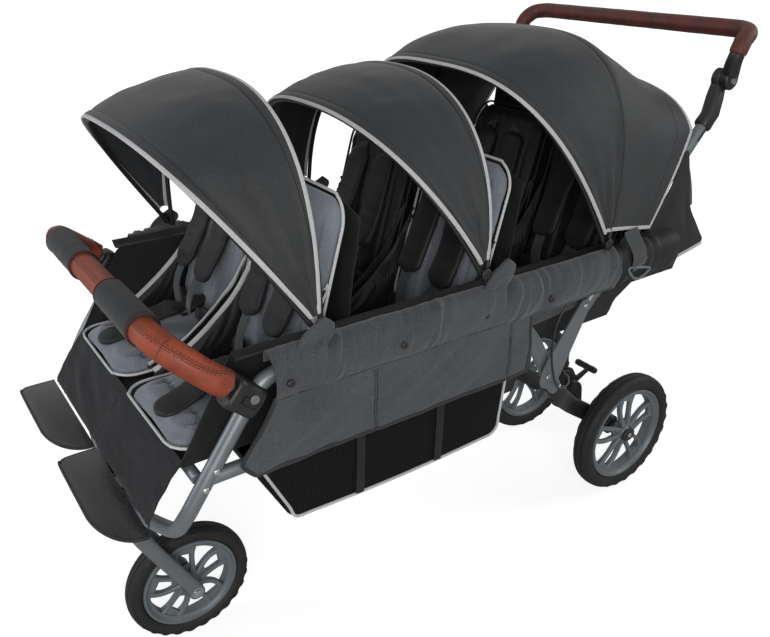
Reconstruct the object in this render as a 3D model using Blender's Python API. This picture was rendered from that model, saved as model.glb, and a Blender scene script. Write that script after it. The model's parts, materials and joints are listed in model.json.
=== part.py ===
"""Six-seat stroller: three rows of two seats on a three-wheeled frame.

Metres, +Z up. The front faces -Y and the child's left side, seen in most views, is +X.
Places along the stroller are stations: distances behind the front axle.
"""

import math

import bmesh
import bpy
from mathutils import Matrix, Vector

for old in list(bpy.data.objects):
    bpy.data.objects.remove(old)

# Clearances
GAP = 0.0003
RUNNING_GAP = 0.0010

# Wheels
WHEELBASE = 1.045
REAR_WHEEL_RADIUS = 0.150
REAR_TYRE_WIDTH = 0.045
REAR_RIM_RADIUS = 0.117
REAR_WHEEL_X = 0.164
FRONT_WHEEL_RADIUS = 0.120
FRONT_TYRE_WIDTH = 0.040
FRONT_RIM_RADIUS = 0.093
AXLE_RADIUS = 0.006
SPOKE_PAIRS = 5

# Front fork
FORK_TRAIL = 0.100
FORK_LEG_X = 0.038
CROWN_HEIGHT = 0.325
HEAD_RADIUS = 0.021
HEAD_BOTTOM = 0.345
HEAD_TOP = 0.418

# Main frame
FRONT_REACH = 0.182
TUBE_RADIUS = 0.012
RAIL_X = 0.288
RAIL_HEIGHT = 0.688
RAIL_END = 0.930
LOWER_RAIL_RADIUS = 0.011
LOWER_RAIL_HEIGHT = 0.553
LOWER_RAIL_END = 0.560
CROSS_TUBE_RADIUS = 0.009
FRONT_CROSS_STATION = -0.047
MID_CROSS_STATION = 0.320
REAR_CROSS_STATION = 0.905

# Rear legs and their pivot on the rail
LEG_X = 0.262
LEG_THICKNESS = 0.018
LEG_DEPTH = 0.030
LEG_PIVOT_STATION = 0.524
LEG_PIVOT_HEIGHT = RAIL_HEIGHT
BRACKET_X = 0.125
BRACKET_THICKNESS = 0.020
CROSS_BAR_STATION = 0.962
CROSS_BAR_HEIGHT = 0.212
PIVOT_BOSS_RADIUS = 0.008
BOSS_END = RAIL_X - TUBE_RADIUS * math.cos(math.pi / 10) - GAP

# Brake lever
BRAKE_STATION = 0.905
BRAKE_HEIGHT = 0.300
BRAKE_X = 0.098
BRAKE_PIN_RADIUS = 0.006

# Handle
HANDLE_X = 0.262
HANDLE_TUBE_RADIUS = 0.0115
HANDLE_PIVOT_STATION = 0.8144
HANDLE_PIVOT_HEIGHT = RAIL_HEIGHT
HANDLE_JOINT_STATION = 1.058
HANDLE_JOINT_HEIGHT = 0.990
HANDLE_DISC_RADIUS = 0.019
HANDLE_BAR_STATION = 1.096
HANDLE_BAR_HEIGHT = 1.076
HANDLE_BAR_X = 0.281
HANDLE_BAR_RADIUS = 0.0115
GRIP_RADIUS = 0.0160
BUTTON_RADIUS = 0.008
BUTTON_TRAVEL = 0.004

# Bumper bar
BUMPER_BAR_RADIUS = 0.010
BUMPER_GRIP_RADIUS = 0.0205
BUMPER_STATION = -0.073
BUMPER_HEIGHT = 0.762
SOCKET_STATION = 0.026
SOCKET_HEIGHT = 0.673
SOCKET_SLOPE = math.radians(40)
CLAMP_LENGTH = 0.050
CLAMP_DEPTH = 0.046
CLAMP_THICKNESS = 0.038

# Seats
ROW_BACKS = (0.160, 0.482, 0.822)
SEAT_DEPTH = 0.215
SEAT_SURFACE = 0.556
SEAT_EDGE_X = 0.2475
SEAT_MIDDLE_GAP = 0.014
CUSHION_THICKNESS = 0.030
BACK_HEIGHT = 0.330
BACK_LEAN = math.radians(16)
SLING_EDGE_X = 0.2488
SLING_THICKNESS = 0.003
FOOTWELL_FLOOR = 0.468
LEG_REST_STATION = -0.121
LEG_REST_HEIGHT = 0.476

# Side panels, rear wall and basket
PANEL_FRONT_TOP = 0.066
PANEL_FRONT_BOTTOM = 0.004
PANEL_BOTTOM = 0.538
PANEL_REAR = 0.556
PANEL_X = 0.3008
TUB_WALL_X = 0.2458
TUB_WALL_TOP = 0.712
CLOTH = 0.0038
ROLL_X = 0.314
ROLL_TOP = 0.722
HEM_HEIGHT = 0.655
BASKET_X = 0.2762
BASKET_TOP = 0.537
BASKET_FLOOR = 0.410
BASKET_WALL = 0.004
REAR_WALL_TOP = 0.930

# Footrests
FOOTREST_EDGE_X = 0.262
FOOTREST_MIDDLE_X = 0.006
FOOTREST_THICKNESS = 0.006
FOOTREST_CORNER = 0.100
HINGE_STEP = 0.0004

# Canopies: pivot station, pivot height, arch height, arch roundness, front and rear bow angles
CANOPY_HALF_WIDTH = 0.292
CANOPY_CLOTH = 0.0035
BOW_RADIUS = 0.0045
BOW_OFFSET = 0.0050
BOW_SET_BACK = math.radians(1.9)
HUB_RADIUS = 0.010
HUB_CLEARANCE = 0.030
CANOPIES = {
    "front": (0.147, 0.735, 0.310, 2.6, 125, 88),
    "middle": (0.455, 0.745, 0.287, 2.4, 123, 84),
    "rear": (0.745, 0.735, 0.345, 3.0, 122, 80),
}
CANOPY_REAR_EDGE = 0.965
CANOPY_CORNER_HEIGHT = 0.905
CANOPY_BACK_HEIGHT = 0.985

FRONT_AXLE_Y = (FRONT_REACH - WHEELBASE - REAR_WHEEL_RADIUS) / 2
SIDES = {"left": 1, "right": -1}


def place(x, station, z):
    """A point from its distance out, its station and its height."""
    return Vector((x, FRONT_AXLE_Y + station, z))


def material(name, colour, roughness, metallic=0.0):
    mat = bpy.data.materials.new(name)
    mat.use_nodes = True
    mat.diffuse_color = (*colour, 1)
    shader = mat.node_tree.nodes["Principled BSDF"]
    shader.inputs["Base Color"].default_value = (*colour, 1)
    shader.inputs["Roughness"].default_value = roughness
    shader.inputs["Metallic"].default_value = metallic
    return mat


FRAME_PAINT = material("frame_paint", (0.11, 0.125, 0.14), 0.35, 0.7)
STEEL = material("zinc_plated_steel", (0.55, 0.56, 0.57), 0.3, 1.0)
BLACK_PLASTIC = material("black_plastic", (0.012, 0.012, 0.013), 0.45)
GREY_PLASTIC = material("grey_plastic", (0.10, 0.12, 0.13), 0.4)
RUBBER = material("tyre_rubber", (0.012, 0.012, 0.012), 0.8)
LEATHER = material("brown_leatherette", (0.26, 0.045, 0.015), 0.5)
TWILL = material("charcoal_twill", (0.03, 0.033, 0.037), 0.85)
LINING = material("black_lining", (0.008, 0.008, 0.009), 0.9)
CUSHION_CLOTH = material("grey_cushion_cloth", (0.17, 0.20, 0.25), 0.9)
MESH_CLOTH = material("black_mesh", (0.01, 0.01, 0.011), 0.9)


def axis_empty(name, location, parent=None):
    """An empty on a joint's axis, which carries the pieces that turn or slide with it."""
    empty = bpy.data.objects.new(name, None)
    bpy.context.scene.collection.objects.link(empty)
    empty.parent = parent
    origin = parent["world_place"] if parent else (0, 0, 0)
    empty.location = Vector(location) - Vector(origin)
    empty["world_place"] = tuple(location)
    return empty


def piece(name, bm, mat, carrier=None):
    """Turns a bmesh in world coordinates into a named object on its carrier."""
    bmesh.ops.remove_doubles(bm, verts=bm.verts, dist=1e-6)
    bmesh.ops.recalc_face_normals(bm, faces=bm.faces)
    if bm.calc_volume(signed=True) < 0:
        bmesh.ops.reverse_faces(bm, faces=bm.faces)
    mesh = bpy.data.meshes.new(name)
    bm.to_mesh(mesh)
    bm.free()
    mesh.materials.append(mat)
    mesh.shade_smooth()
    mesh.set_sharp_from_angle(angle=math.radians(40))
    obj = bpy.data.objects.new(name, mesh)
    bpy.context.scene.collection.objects.link(obj)
    if carrier:
        obj.parent = carrier
        mesh.transform(Matrix.Translation(-Vector(carrier["world_place"])))
    return obj


def helper(bm, name):
    """A cutter, or a shape that a Boolean joins to its owner."""
    obj = piece(name, bm, BLACK_PLASTIC)
    obj.hide_render = True
    obj.display_type = "WIRE"
    return obj


def boolean(obj, operation, bm):
    other = helper(bm, f"{obj.name}_{operation.lower()}_{len(obj.modifiers)}")
    modifier = obj.modifiers.new(operation.lower(), "BOOLEAN")
    modifier.operation = operation
    modifier.object = other
    return obj


def cut(obj, bm):
    return boolean(obj, "DIFFERENCE", bm)


def join(obj, bm):
    return boolean(obj, "UNION", bm)


def loft(rings, closed=False, bm=None):
    """A closed skin through rings of points, capped at both ends unless the rings close on themselves."""
    bm = bm or bmesh.new()
    rows = [[bm.verts.new(point) for point in ring] for ring in rings]
    count = len(rows[0])
    pairs = list(zip(rows, rows[1:]))
    if closed:
        pairs.append((rows[-1], rows[0]))
    for first, second in pairs:
        for i in range(count):
            j = (i + 1) % count
            bm.faces.new((first[i], first[j], second[j], second[i]))
    if not closed:
        bm.faces.new(list(reversed(rows[0])))
        bm.faces.new(rows[-1])
    return bm


def curve(points):
    """Fine points on a smooth curve through the given ones, in one list for each stretch between them."""
    points = [Vector(point) for point in points]
    ends = [points[0] * 2 - points[1]] + points + [points[-1] * 2 - points[-2]]
    stretches = []
    for i in range(1, len(ends) - 2):
        a, b, c, d = ends[i - 1 : i + 3]
        fine = []
        for step in range(25):
            t = step / 24
            fine.append(
                0.5 * (2 * b + (c - a) * t + (2 * a - 5 * b + 4 * c - d) * t**2
                       + (3 * b - a - 3 * c + d) * t**3)
            )
        stretches.append(fine)
    return stretches


def even_path(points, count):
    """Evenly stepped points on a smooth curve through the given ones."""
    stretches = curve(points)
    fine = [point for stretch in stretches for point in stretch[:-1]] + [stretches[-1][-1]]
    lengths = [0.0]
    for a, b in zip(fine, fine[1:]):
        lengths.append(lengths[-1] + (b - a).length)
    result = []
    k = 0
    for i in range(count):
        target = lengths[-1] * i / (count - 1)
        while k < len(fine) - 2 and lengths[k + 1] < target:
            k += 1
        span = lengths[k + 1] - lengths[k]
        result.append(fine[k].lerp(fine[k + 1], (target - lengths[k]) / span))
    return result


def thinned(points, tolerance):
    """The fewest of these points that stay within a tolerance of them all."""
    first, last = points[0], points[-1]
    chord = last - first
    worst, index = 0.0, 0
    for i, point in enumerate(points[1:-1], 1):
        share = (point - first).dot(chord) / chord.length_squared
        off = (point - first - chord * share).length
        if off > worst:
            worst, index = off, i
    if worst <= tolerance:
        return [first, last]
    return thinned(points[: index + 1], tolerance)[:-1] + thinned(points[index:], tolerance)


def smooth_path(points, tolerance=0.0007):
    """A smooth curve through the given points, in as few steps as its bends need."""
    result = [Vector(points[0])]
    for stretch in curve(points):
        result += thinned(stretch, tolerance)[1:]
    return result


def path_frames(path, side):
    """The tangent, the side direction and the upright at each point of a path."""
    frames = []
    for i, point in enumerate(path):
        ahead = path[min(i + 1, len(path) - 1)]
        behind = path[max(i - 1, 0)]
        tangent = (ahead - behind).normalized()
        across = (side - tangent * side.dot(tangent)).normalized()
        frames.append((point, across, tangent.cross(across)))
        side = across
    return frames


def oval(point, across, upright, half_width, half_height, sides, turn=0.5):
    ring = []
    for i in range(sides):
        angle = 2 * math.pi * (i + turn) / sides
        offset = across * (half_width * math.cos(angle)) + upright * (half_height * math.sin(angle))
        ring.append(point + offset)
    return ring


def tube(path, radius, height=None, sides=10, side=Vector((1, 0, 0))):
    """A bar of round or oval section along a path."""
    height = height or radius
    rings = [oval(*frame, radius, height, sides) for frame in path_frames(path, side)]
    return loft(rings)


def sleeve(path, outer, inner, trim, sides=10, side=Vector((1, 0, 0))):
    """A tube round a bar on the same path, open at both ends and some way short of the bar's ends."""
    lengths = [0.0]
    for a, b in zip(path, path[1:]):
        lengths.append(lengths[-1] + (b - a).length)
    frames = [
        frame
        for frame, length in zip(path_frames(path, side), lengths)
        if trim <= length <= lengths[-1] - trim
    ]
    outside = [oval(*frame, outer, outer, sides) for frame in frames]
    inside = [oval(*frame, inner, inner, sides) for frame in reversed(frames)]
    return loft(outside + inside, closed=True)


def rod(centre, radius, length, direction=Vector((1, 0, 0)), sides=20):
    """A cylinder about a centre."""
    half = Vector(direction).normalized() * length / 2
    side = Vector((0, 0, 1)) if abs(half.z) < abs(half.y) + abs(half.x) else Vector((1, 0, 0))
    return tube([centre - half, centre + half], radius, sides=sides, side=side)


def turned(profile, centre, steps, flip=1):
    """A ring turned about the X axis through a centre, from a closed profile of (out, radius)."""
    rings = []
    for i in range(steps):
        angle = 2 * math.pi * i / steps
        outward = Vector((0, math.cos(angle), math.sin(angle)))
        rings.append([centre + Vector((flip * x, 0, 0)) + outward * r for x, r in profile])
    return loft(rings, closed=True)


def slab(outline, x_low, x_high):
    """A flat plate across X from an outline of (station, height) points."""
    low = [place(x_low, s, z) for s, z in outline]
    high = [place(x_high, s, z) for s, z in outline]
    return loft([low, high])


def mirrored(points):
    """A path and its mirror image, joined into one from side to side."""
    points = [Vector(point) for point in points]
    return points + [Vector((-p.x, p.y, p.z)) for p in reversed(points) if p.x > 1e-6]


# Axes of the moving bodies
FORK_AXIS = axis_empty("fork_swivel_axis", place(0, -FORK_TRAIL, HEAD_BOTTOM))
FRONT_AXLE = axis_empty("front_wheel_axis", place(0, 0, FRONT_WHEEL_RADIUS), FORK_AXIS)
LEG_AXIS = axis_empty("rear_leg_axis", place(0, LEG_PIVOT_STATION, LEG_PIVOT_HEIGHT))
REAR_AXLES = {
    side: axis_empty(
        f"rear_wheel_axis_{side}", place(sign * REAR_WHEEL_X, WHEELBASE, REAR_WHEEL_RADIUS), LEG_AXIS
    )
    for side, sign in SIDES.items()
}
HANDLE_AXIS = axis_empty("handle_fold_axis", place(0, HANDLE_PIVOT_STATION, HANDLE_PIVOT_HEIGHT))
BAR_AXIS = axis_empty(
    "handlebar_axis", place(0, HANDLE_JOINT_STATION, HANDLE_JOINT_HEIGHT), HANDLE_AXIS
)
BRAKE_AXIS = axis_empty("brake_lever_axis", place(0, BRAKE_STATION, BRAKE_HEIGHT), LEG_AXIS)
BUMPER_AXIS = axis_empty("bumper_slide_axis", place(0, SOCKET_STATION, SOCKET_HEIGHT))


def front_tube_path(sign):
    """From the back of the rail forwards, down at the front and in to the head."""
    rail = [place(sign * RAIL_X, RAIL_END, RAIL_HEIGHT), place(sign * RAIL_X, 0.120, RAIL_HEIGHT)]
    bend = [
        place(sign * RAIL_X, 0.072, RAIL_HEIGHT - 0.0035),
        place(sign * RAIL_X, 0.042, RAIL_HEIGHT - 0.024),
        place(sign * RAIL_X, -0.010, 0.593),
        place(sign * (RAIL_X - 0.001), -0.052, 0.533),
        place(sign * (RAIL_X - 0.010), -0.074, 0.492),
        place(sign * 0.240, -0.080, 0.449),
        place(sign * 0.160, -0.085, 0.408),
        place(sign * 0.090, -0.094, 0.386),
    ]
    head = place(sign * HEAD_RADIUS / 2, -FORK_TRAIL, 0.379)
    return rail[:1] + smooth_path(rail[1:] + bend + [head])


def frame_pieces():
    head_middle = place(0, -FORK_TRAIL, (HEAD_BOTTOM + HEAD_TOP) / 2)
    for side, sign in SIDES.items():
        frame = piece(f"side_frame_{side}", tube(front_tube_path(sign), TUBE_RADIUS), FRAME_PAINT)
        cut(frame, rod(head_middle, HEAD_RADIUS + GAP, 0.2, Vector((0, 0, 1)), 24))
        front = place(sign * RAIL_X, -0.0405, LOWER_RAIL_HEIGHT)
        back = place(sign * RAIL_X, LOWER_RAIL_END, LOWER_RAIL_HEIGHT)
        rail = piece(f"lower_rail_{side}", tube([front, back], LOWER_RAIL_RADIUS), FRAME_PAINT)
        cut(rail, tube(front_tube_path(sign), TUBE_RADIUS + GAP))
    head = rod(head_middle, HEAD_RADIUS, HEAD_TOP - HEAD_BOTTOM, Vector((0, 0, 1)), 24)
    piece("head_tube", head, FRAME_PAINT)
    under_seat = SEAT_SURFACE - GAP - CROSS_TUBE_RADIUS
    reach = 2 * (RAIL_X - TUBE_RADIUS - GAP)
    lower_reach = 2 * (RAIL_X - LOWER_RAIL_RADIUS - GAP)
    front = rod(place(0, FRONT_CROSS_STATION, under_seat), CROSS_TUBE_RADIUS, reach - 0.003, sides=12)
    piece("front_cross_tube", front, FRAME_PAINT)
    middle = rod(place(0, MID_CROSS_STATION, under_seat), CROSS_TUBE_RADIUS, lower_reach, sides=12)
    piece("middle_cross_tube", middle, FRAME_PAINT)
    rear = rod(place(0, REAR_CROSS_STATION, RAIL_HEIGHT), CROSS_TUBE_RADIUS, reach, sides=12)
    piece("rear_cross_tube", rear, FRAME_PAINT)


def wheel(name, axle, radius, width, rim_radius, carrier, sign=1):
    """A foam-filled tyre on a moulded rim with pairs of spokes and a hub bored for the axle."""
    half = width / 2
    tyre_profile = [
        (half * 0.66, rim_radius + GAP),
        (half, rim_radius + (radius - rim_radius) * 0.38),
        (half * 0.84, radius - 0.007),
        (half * 0.42, radius - 0.0012),
    ]
    tyre_profile += [(0, radius)] + [(-x, r) for x, r in reversed(tyre_profile)]
    piece(f"{name}_tyre", turned(tyre_profile, axle, 28), RUBBER, carrier)
    deep = rim_radius - 0.013
    rim_profile = [
        (half * 0.74, rim_radius),
        (half * 0.84, rim_radius - 0.003),
        (half * 0.66, deep),
        (-half * 0.66, deep),
        (-half * 0.84, rim_radius - 0.003),
        (-half * 0.74, rim_radius),
    ]
    rim = piece(f"{name}_rim", turned(rim_profile, axle, 28), GREY_PLASTIC, carrier)
    hub_profile = [
        (half, AXLE_RADIUS + GAP),
        (half, 0.014),
        (half * 0.5, 0.022),
        (-half * 0.5, 0.022),
        (-half, 0.014),
        (-half, AXLE_RADIUS + GAP),
    ]
    spokes = turned(hub_profile, axle, 14)
    join(rim, spokes)
    bars = bmesh.new()
    for i in range(SPOKE_PAIRS):
        middle = 2 * math.pi * (i + 0.25) / SPOKE_PAIRS
        for lean in (-0.16, 0.16):
            inner = Vector((0, math.cos(middle + lean * 2.2), math.sin(middle + lean * 2.2)))
            outer = Vector((0, math.cos(middle + lean), math.sin(middle + lean)))
            start = axle + inner * 0.017
            end = axle + outer * (deep + 0.004)
            rings = []
            for point, thick in ((start, half * 0.75), (start.lerp(end, 0.5), half * 0.52), (end, half * 0.5)):
                direction = (end - start).normalized()
                across = direction.cross(Vector((1, 0, 0)))
                shift = Vector((sign * half * 0.12, 0, 0))
                rings.append(
                    [
                        point + shift + across * (a * 0.0042) + Vector((b * thick, 0, 0))
                        for a, b in ((1, 1), (-1, 1), (-1, -1), (1, -1))
                    ]
                )
            loft(rings, bm=bars)
    join(rim, bars)
    return rim


def wheel_pieces():
    front = place(0, 0, FRONT_WHEEL_RADIUS)
    wheel("front", front, FRONT_WHEEL_RADIUS, FRONT_TYRE_WIDTH, FRONT_RIM_RADIUS, FRONT_AXLE)
    for side, sign in SIDES.items():
        centre = place(sign * REAR_WHEEL_X, WHEELBASE, REAR_WHEEL_RADIUS)
        name = f"rear_{side}"
        carrier = REAR_AXLES[side]
        wheel(name, centre, REAR_WHEEL_RADIUS, REAR_TYRE_WIDTH, REAR_RIM_RADIUS, carrier, sign)


def fork_pieces():
    """Two legs that lean forwards to a crown, with a stem up into the head."""
    crown_top = HEAD_BOTTOM - GAP
    crown = place(0, -FORK_TRAIL + 0.004, CROWN_HEIGHT)
    leg = [
        place(FORK_LEG_X, 0.004, FRONT_WHEEL_RADIUS - 0.006),
        place(FORK_LEG_X, -0.030, 0.180),
        place(FORK_LEG_X, -0.066, 0.250),
        place(FORK_LEG_X * 0.93, -0.088, 0.296),
        place(FORK_LEG_X * 0.60, -0.094, crown.z),
    ]
    arch = smooth_path(mirrored(leg))
    fork = piece("front_fork", tube(arch, 0.009, 0.014, sides=10), FRAME_PAINT, FORK_AXIS)
    stem = rod(place(0, -FORK_TRAIL, (crown_top + crown.z) / 2 - 0.002), 0.019,
               crown_top - crown.z + 0.004, Vector((0, 0, 1)), 20)
    join(fork, stem)
    axle_hole = rod(place(0, 0, FRONT_WHEEL_RADIUS), AXLE_RADIUS + GAP, 0.2)
    cut(fork, axle_hole)
    axle = rod(place(0, 0, FRONT_WHEEL_RADIUS), AXLE_RADIUS, 2 * (FORK_LEG_X + 0.014))
    piece("front_axle", axle, STEEL, FORK_AXIS)


def rear_leg_pieces():
    for side, sign in SIDES.items():
        leg_path = smooth_path(
            [
                place(sign * LEG_X, LEG_PIVOT_STATION - 0.006, LEG_PIVOT_HEIGHT + 0.009),
                place(sign * LEG_X, 0.567, 0.620),
                place(sign * (LEG_X - 0.003), 0.616, 0.557),
                place(sign * (LEG_X - 0.0035), 0.662, 0.475),
                place(sign * (LEG_X - 0.0035), 0.694, 0.424),
            ]
        )
        leg = tube(leg_path, LEG_THICKNESS / 2, LEG_DEPTH / 2, sides=12)
        leg = piece(f"rear_leg_{side}", leg, FRAME_PAINT, LEG_AXIS)
        boss = rod(
            place(sign * (LEG_X + BOSS_END) / 2, LEG_PIVOT_STATION, LEG_PIVOT_HEIGHT),
            PIVOT_BOSS_RADIUS,
            BOSS_END - LEG_X,
        )
        join(leg, boss)
        end, across, upright = path_frames(leg_path, Vector((1, 0, 0)))[-1]
        start = end + (leg_path[-1] - leg_path[-2]).normalized() * GAP
        bracket_path = [start] + smooth_path(
            [
                start + (leg_path[-1] - leg_path[-2]).normalized() * 0.012,
                place(sign * 0.185, 0.800, 0.335),
                place(sign * (BRACKET_X + 0.007), 0.890, 0.262),
                place(sign * BRACKET_X, 0.965, 0.208),
                place(sign * BRACKET_X, WHEELBASE, REAR_WHEEL_RADIUS),
            ]
        )
        bracket = tube(bracket_path, BRACKET_THICKNESS / 2, 0.021, sides=8)
        bracket = piece(f"axle_bracket_{side}", bracket, BLACK_PLASTIC, LEG_AXIS)
        axle_place = place(sign * BRACKET_X, WHEELBASE, REAR_WHEEL_RADIUS)
        join(bracket, rod(axle_place, 0.024, BRACKET_THICKNESS + 0.002, sides=24))
        cut(bracket, rod(axle_place, AXLE_RADIUS + GAP, 0.1))
        if side == "left":
            lug = [
                (0.872, 0.268), (0.935, 0.222), (0.926, 0.298), (0.914, 0.314), (0.896, 0.314),
                (0.886, 0.300),
            ]
            join(bracket, slab(lug, BRAKE_X + 0.0165, BRAKE_X + 0.0285))
            pin_place = place(BRAKE_X + 0.0225, BRAKE_STATION, BRAKE_HEIGHT)
            cut(bracket, rod(pin_place, BRAKE_PIN_RADIUS + GAP, 0.016, sides=16))
    axle = rod(place(0, WHEELBASE, REAR_WHEEL_RADIUS), AXLE_RADIUS, 2 * (REAR_WHEEL_X + 0.028))
    piece("rear_axle", axle, STEEL, LEG_AXIS)
    bar_reach = 2 * (BRACKET_X - BRACKET_THICKNESS / 2 - GAP)
    cross = rod(place(0, CROSS_BAR_STATION, CROSS_BAR_HEIGHT), 0.009, bar_reach, sides=12)
    piece("rear_cross_bar", cross, BLACK_PLASTIC, LEG_AXIS)


def brake_pieces():
    """A rocking lever on the left bracket, worked by a cable from under the rail."""
    arm = [
        (BRAKE_STATION - 0.012, BRAKE_HEIGHT - 0.012),
        (BRAKE_STATION + 0.030, BRAKE_HEIGHT - 0.010),
        (BRAKE_STATION + 0.075, BRAKE_HEIGHT + 0.012),
        (BRAKE_STATION + 0.080, BRAKE_HEIGHT + 0.022),
        (BRAKE_STATION + 0.030, BRAKE_HEIGHT + 0.006),
        (BRAKE_STATION + 0.012, BRAKE_HEIGHT + 0.036),
        (BRAKE_STATION - 0.004, BRAKE_HEIGHT + 0.042),
        (BRAKE_STATION - 0.010, BRAKE_HEIGHT + 0.030),
    ]
    lever = piece("brake_lever", slab(arm, BRAKE_X - 0.003, BRAKE_X + 0.003), BLACK_PLASTIC, BRAKE_AXIS)
    pin = rod(place(BRAKE_X + 0.0125, BRAKE_STATION, BRAKE_HEIGHT), BRAKE_PIN_RADIUS, 0.030, sides=16)
    join(lever, pin)
    pedal = rod(place(BRAKE_X - 0.010, BRAKE_STATION + 0.074, BRAKE_HEIGHT + 0.015), 0.008, 0.060, sides=12)
    join(lever, pedal)
    route = smooth_path(
        [
            place(0.2880, 0.700, 0.666),
            place(0.2880, 0.664, 0.640),
            place(0.2860, 0.640, 0.600),
            place(0.2850, 0.636, 0.545),
            place(0.2850, 0.648, 0.490),
            place(0.2840, 0.668, 0.456),
            place(0.2700, 0.708, 0.446),
            place(0.2320, 0.752, 0.428),
            place(0.1800, 0.806, 0.392),
            place(0.1180, 0.868, 0.350),
            place(BRAKE_X + 0.0060, BRAKE_STATION - 0.018, BRAKE_HEIGHT + 0.039),
            place(BRAKE_X + 0.0054, BRAKE_STATION - 0.002, BRAKE_HEIGHT + 0.034),
        ],
        0.0010,
    )
    piece("brake_cable", tube(route, 0.0020, sides=6), BLACK_PLASTIC, LEG_AXIS)


def handle_pieces():
    low = (0.735, 0.600)
    high = (1.030, 0.9283)
    pivot = (HANDLE_PIVOT_STATION, HANDLE_PIVOT_HEIGHT)
    for side, sign in SIDES.items():
        tube_path = [place(sign * HANDLE_X, s, z) for s, z in (low, pivot, high)]
        handle = tube(tube_path, HANDLE_TUBE_RADIUS, sides=12)
        handle = piece(f"handle_tube_{side}", handle, FRAME_PAINT, HANDLE_AXIS)
        boss = rod(place(sign * (HANDLE_X + BOSS_END) / 2, *pivot), PIVOT_BOSS_RADIUS, BOSS_END - HANDLE_X)
        join(handle, boss)
        plate_outline = [
            (0.662, 0.462), (0.640, 0.459), (0.625, 0.470), (0.624, 0.492), (0.633, 0.512),
            (0.716, 0.624), (0.728, 0.627), (0.737, 0.619), (0.737, 0.604), (0.676, 0.478),
        ]
        x_in, x_out = sorted((sign * (HANDLE_X + 0.0098), sign * (HANDLE_X + 0.0133)))
        join(handle, slab(plate_outline, x_in, x_out))
        joint = place(sign * (HANDLE_X - 0.010), HANDLE_JOINT_STATION, HANDLE_JOINT_HEIGHT)
        disc = rod(joint, HANDLE_DISC_RADIUS, 0.017, sides=24)
        housing = piece(f"handle_joint_{side}", disc, BLACK_PLASTIC, HANDLE_AXIS)
        top = place(sign * HANDLE_X, *high)
        along = (top - place(sign * HANDLE_X, *pivot)).normalized()
        neck_end = place(sign * (HANDLE_X - 0.010), HANDLE_JOINT_STATION - 0.002, HANDLE_JOINT_HEIGHT - 0.008)
        start = top + along * GAP
        neck = [start - along * 0.030, start, start.lerp(neck_end, 0.55), neck_end]
        join(housing, tube(neck, 0.0155, 0.0165, sides=12))
        cut(housing, tube([top - along * 0.05, top + along * GAP], HANDLE_TUBE_RADIUS + GAP, sides=12))
        cut(housing, bar_disc(sign, GAP))


def bar_disc(sign, grow=0.0):
    """The disc at one end of the handlebar, outboard of the housing's disc."""
    centre = place(sign * (HANDLE_X + 0.0080), HANDLE_JOINT_STATION, HANDLE_JOINT_HEIGHT)
    return rod(centre, HANDLE_DISC_RADIUS + grow, 0.0180 + 2 * grow, sides=24)


def handlebar_path():
    foot_x = HANDLE_X + 0.0107
    return smooth_path(
        mirrored(
            [
                place(foot_x, HANDLE_JOINT_STATION - 0.002, HANDLE_JOINT_HEIGHT + 0.009),
                place(foot_x + 0.005, HANDLE_JOINT_STATION - 0.007, HANDLE_JOINT_HEIGHT + 0.030),
                place(HANDLE_BAR_X + 0.003, HANDLE_JOINT_STATION - 0.009, HANDLE_JOINT_HEIGHT + 0.050),
                place(HANDLE_BAR_X + 0.002, HANDLE_JOINT_STATION + 0.003, HANDLE_BAR_HEIGHT - 0.017),
                place(HANDLE_BAR_X - 0.003, HANDLE_BAR_STATION - 0.015, HANDLE_BAR_HEIGHT - 0.005),
                place(HANDLE_BAR_X - 0.022, HANDLE_BAR_STATION - 0.002, HANDLE_BAR_HEIGHT - 0.001),
                place(HANDLE_BAR_X - 0.050, HANDLE_BAR_STATION, HANDLE_BAR_HEIGHT),
                place(0.120, HANDLE_BAR_STATION, HANDLE_BAR_HEIGHT),
            ]
        )
    )


def handlebar_pieces():
    path = handlebar_path()
    bar = piece("handlebar", tube(path, HANDLE_BAR_RADIUS), FRAME_PAINT, BAR_AXIS)
    for sign in SIDES.values():
        join(bar, bar_disc(sign))
        button_place = place(sign * (HANDLE_X + 0.0170), HANDLE_JOINT_STATION, HANDLE_JOINT_HEIGHT)
        recess = rod(button_place, BUTTON_RADIUS + GAP, 2 * (BUTTON_TRAVEL + 0.004), sides=16)
        cut(bar, recess)
    grip = sleeve(path, GRIP_RADIUS, HANDLE_BAR_RADIUS + GAP, trim=0.040)
    piece("handle_grip", grip, LEATHER, BAR_AXIS)
    for side, sign in SIDES.items():
        outer = HANDLE_X + 0.0170 + BUTTON_TRAVEL
        inner = HANDLE_X + 0.0170 - 0.0035
        centre = place(sign * (outer + inner) / 2, HANDLE_JOINT_STATION, HANDLE_JOINT_HEIGHT)
        carrier = axis_empty(f"handle_button_axis_{side}", centre, BAR_AXIS)
        button = rod(centre, BUTTON_RADIUS, outer - inner, sides=16)
        piece(f"handle_button_{side}", button, GREY_PLASTIC, carrier)


def socket_point(sign, distance):
    """A point on a bumper socket's axis, some way out of the clamp."""
    return place(
        sign * RAIL_X,
        SOCKET_STATION - distance * math.cos(SOCKET_SLOPE),
        SOCKET_HEIGHT + distance * math.sin(SOCKET_SLOPE),
    )


def bumper_path():
    return smooth_path(
        mirrored(
            [
                socket_point(1, 0.006),
                socket_point(1, 0.030),
                socket_point(1, 0.055),
                place(0.276, -0.040, 0.730),
                place(0.252, -0.064, 0.752),
                place(0.213, BUMPER_STATION, BUMPER_HEIGHT - 0.002),
                place(0.100, BUMPER_STATION, BUMPER_HEIGHT),
            ]
        )
    )


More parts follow.
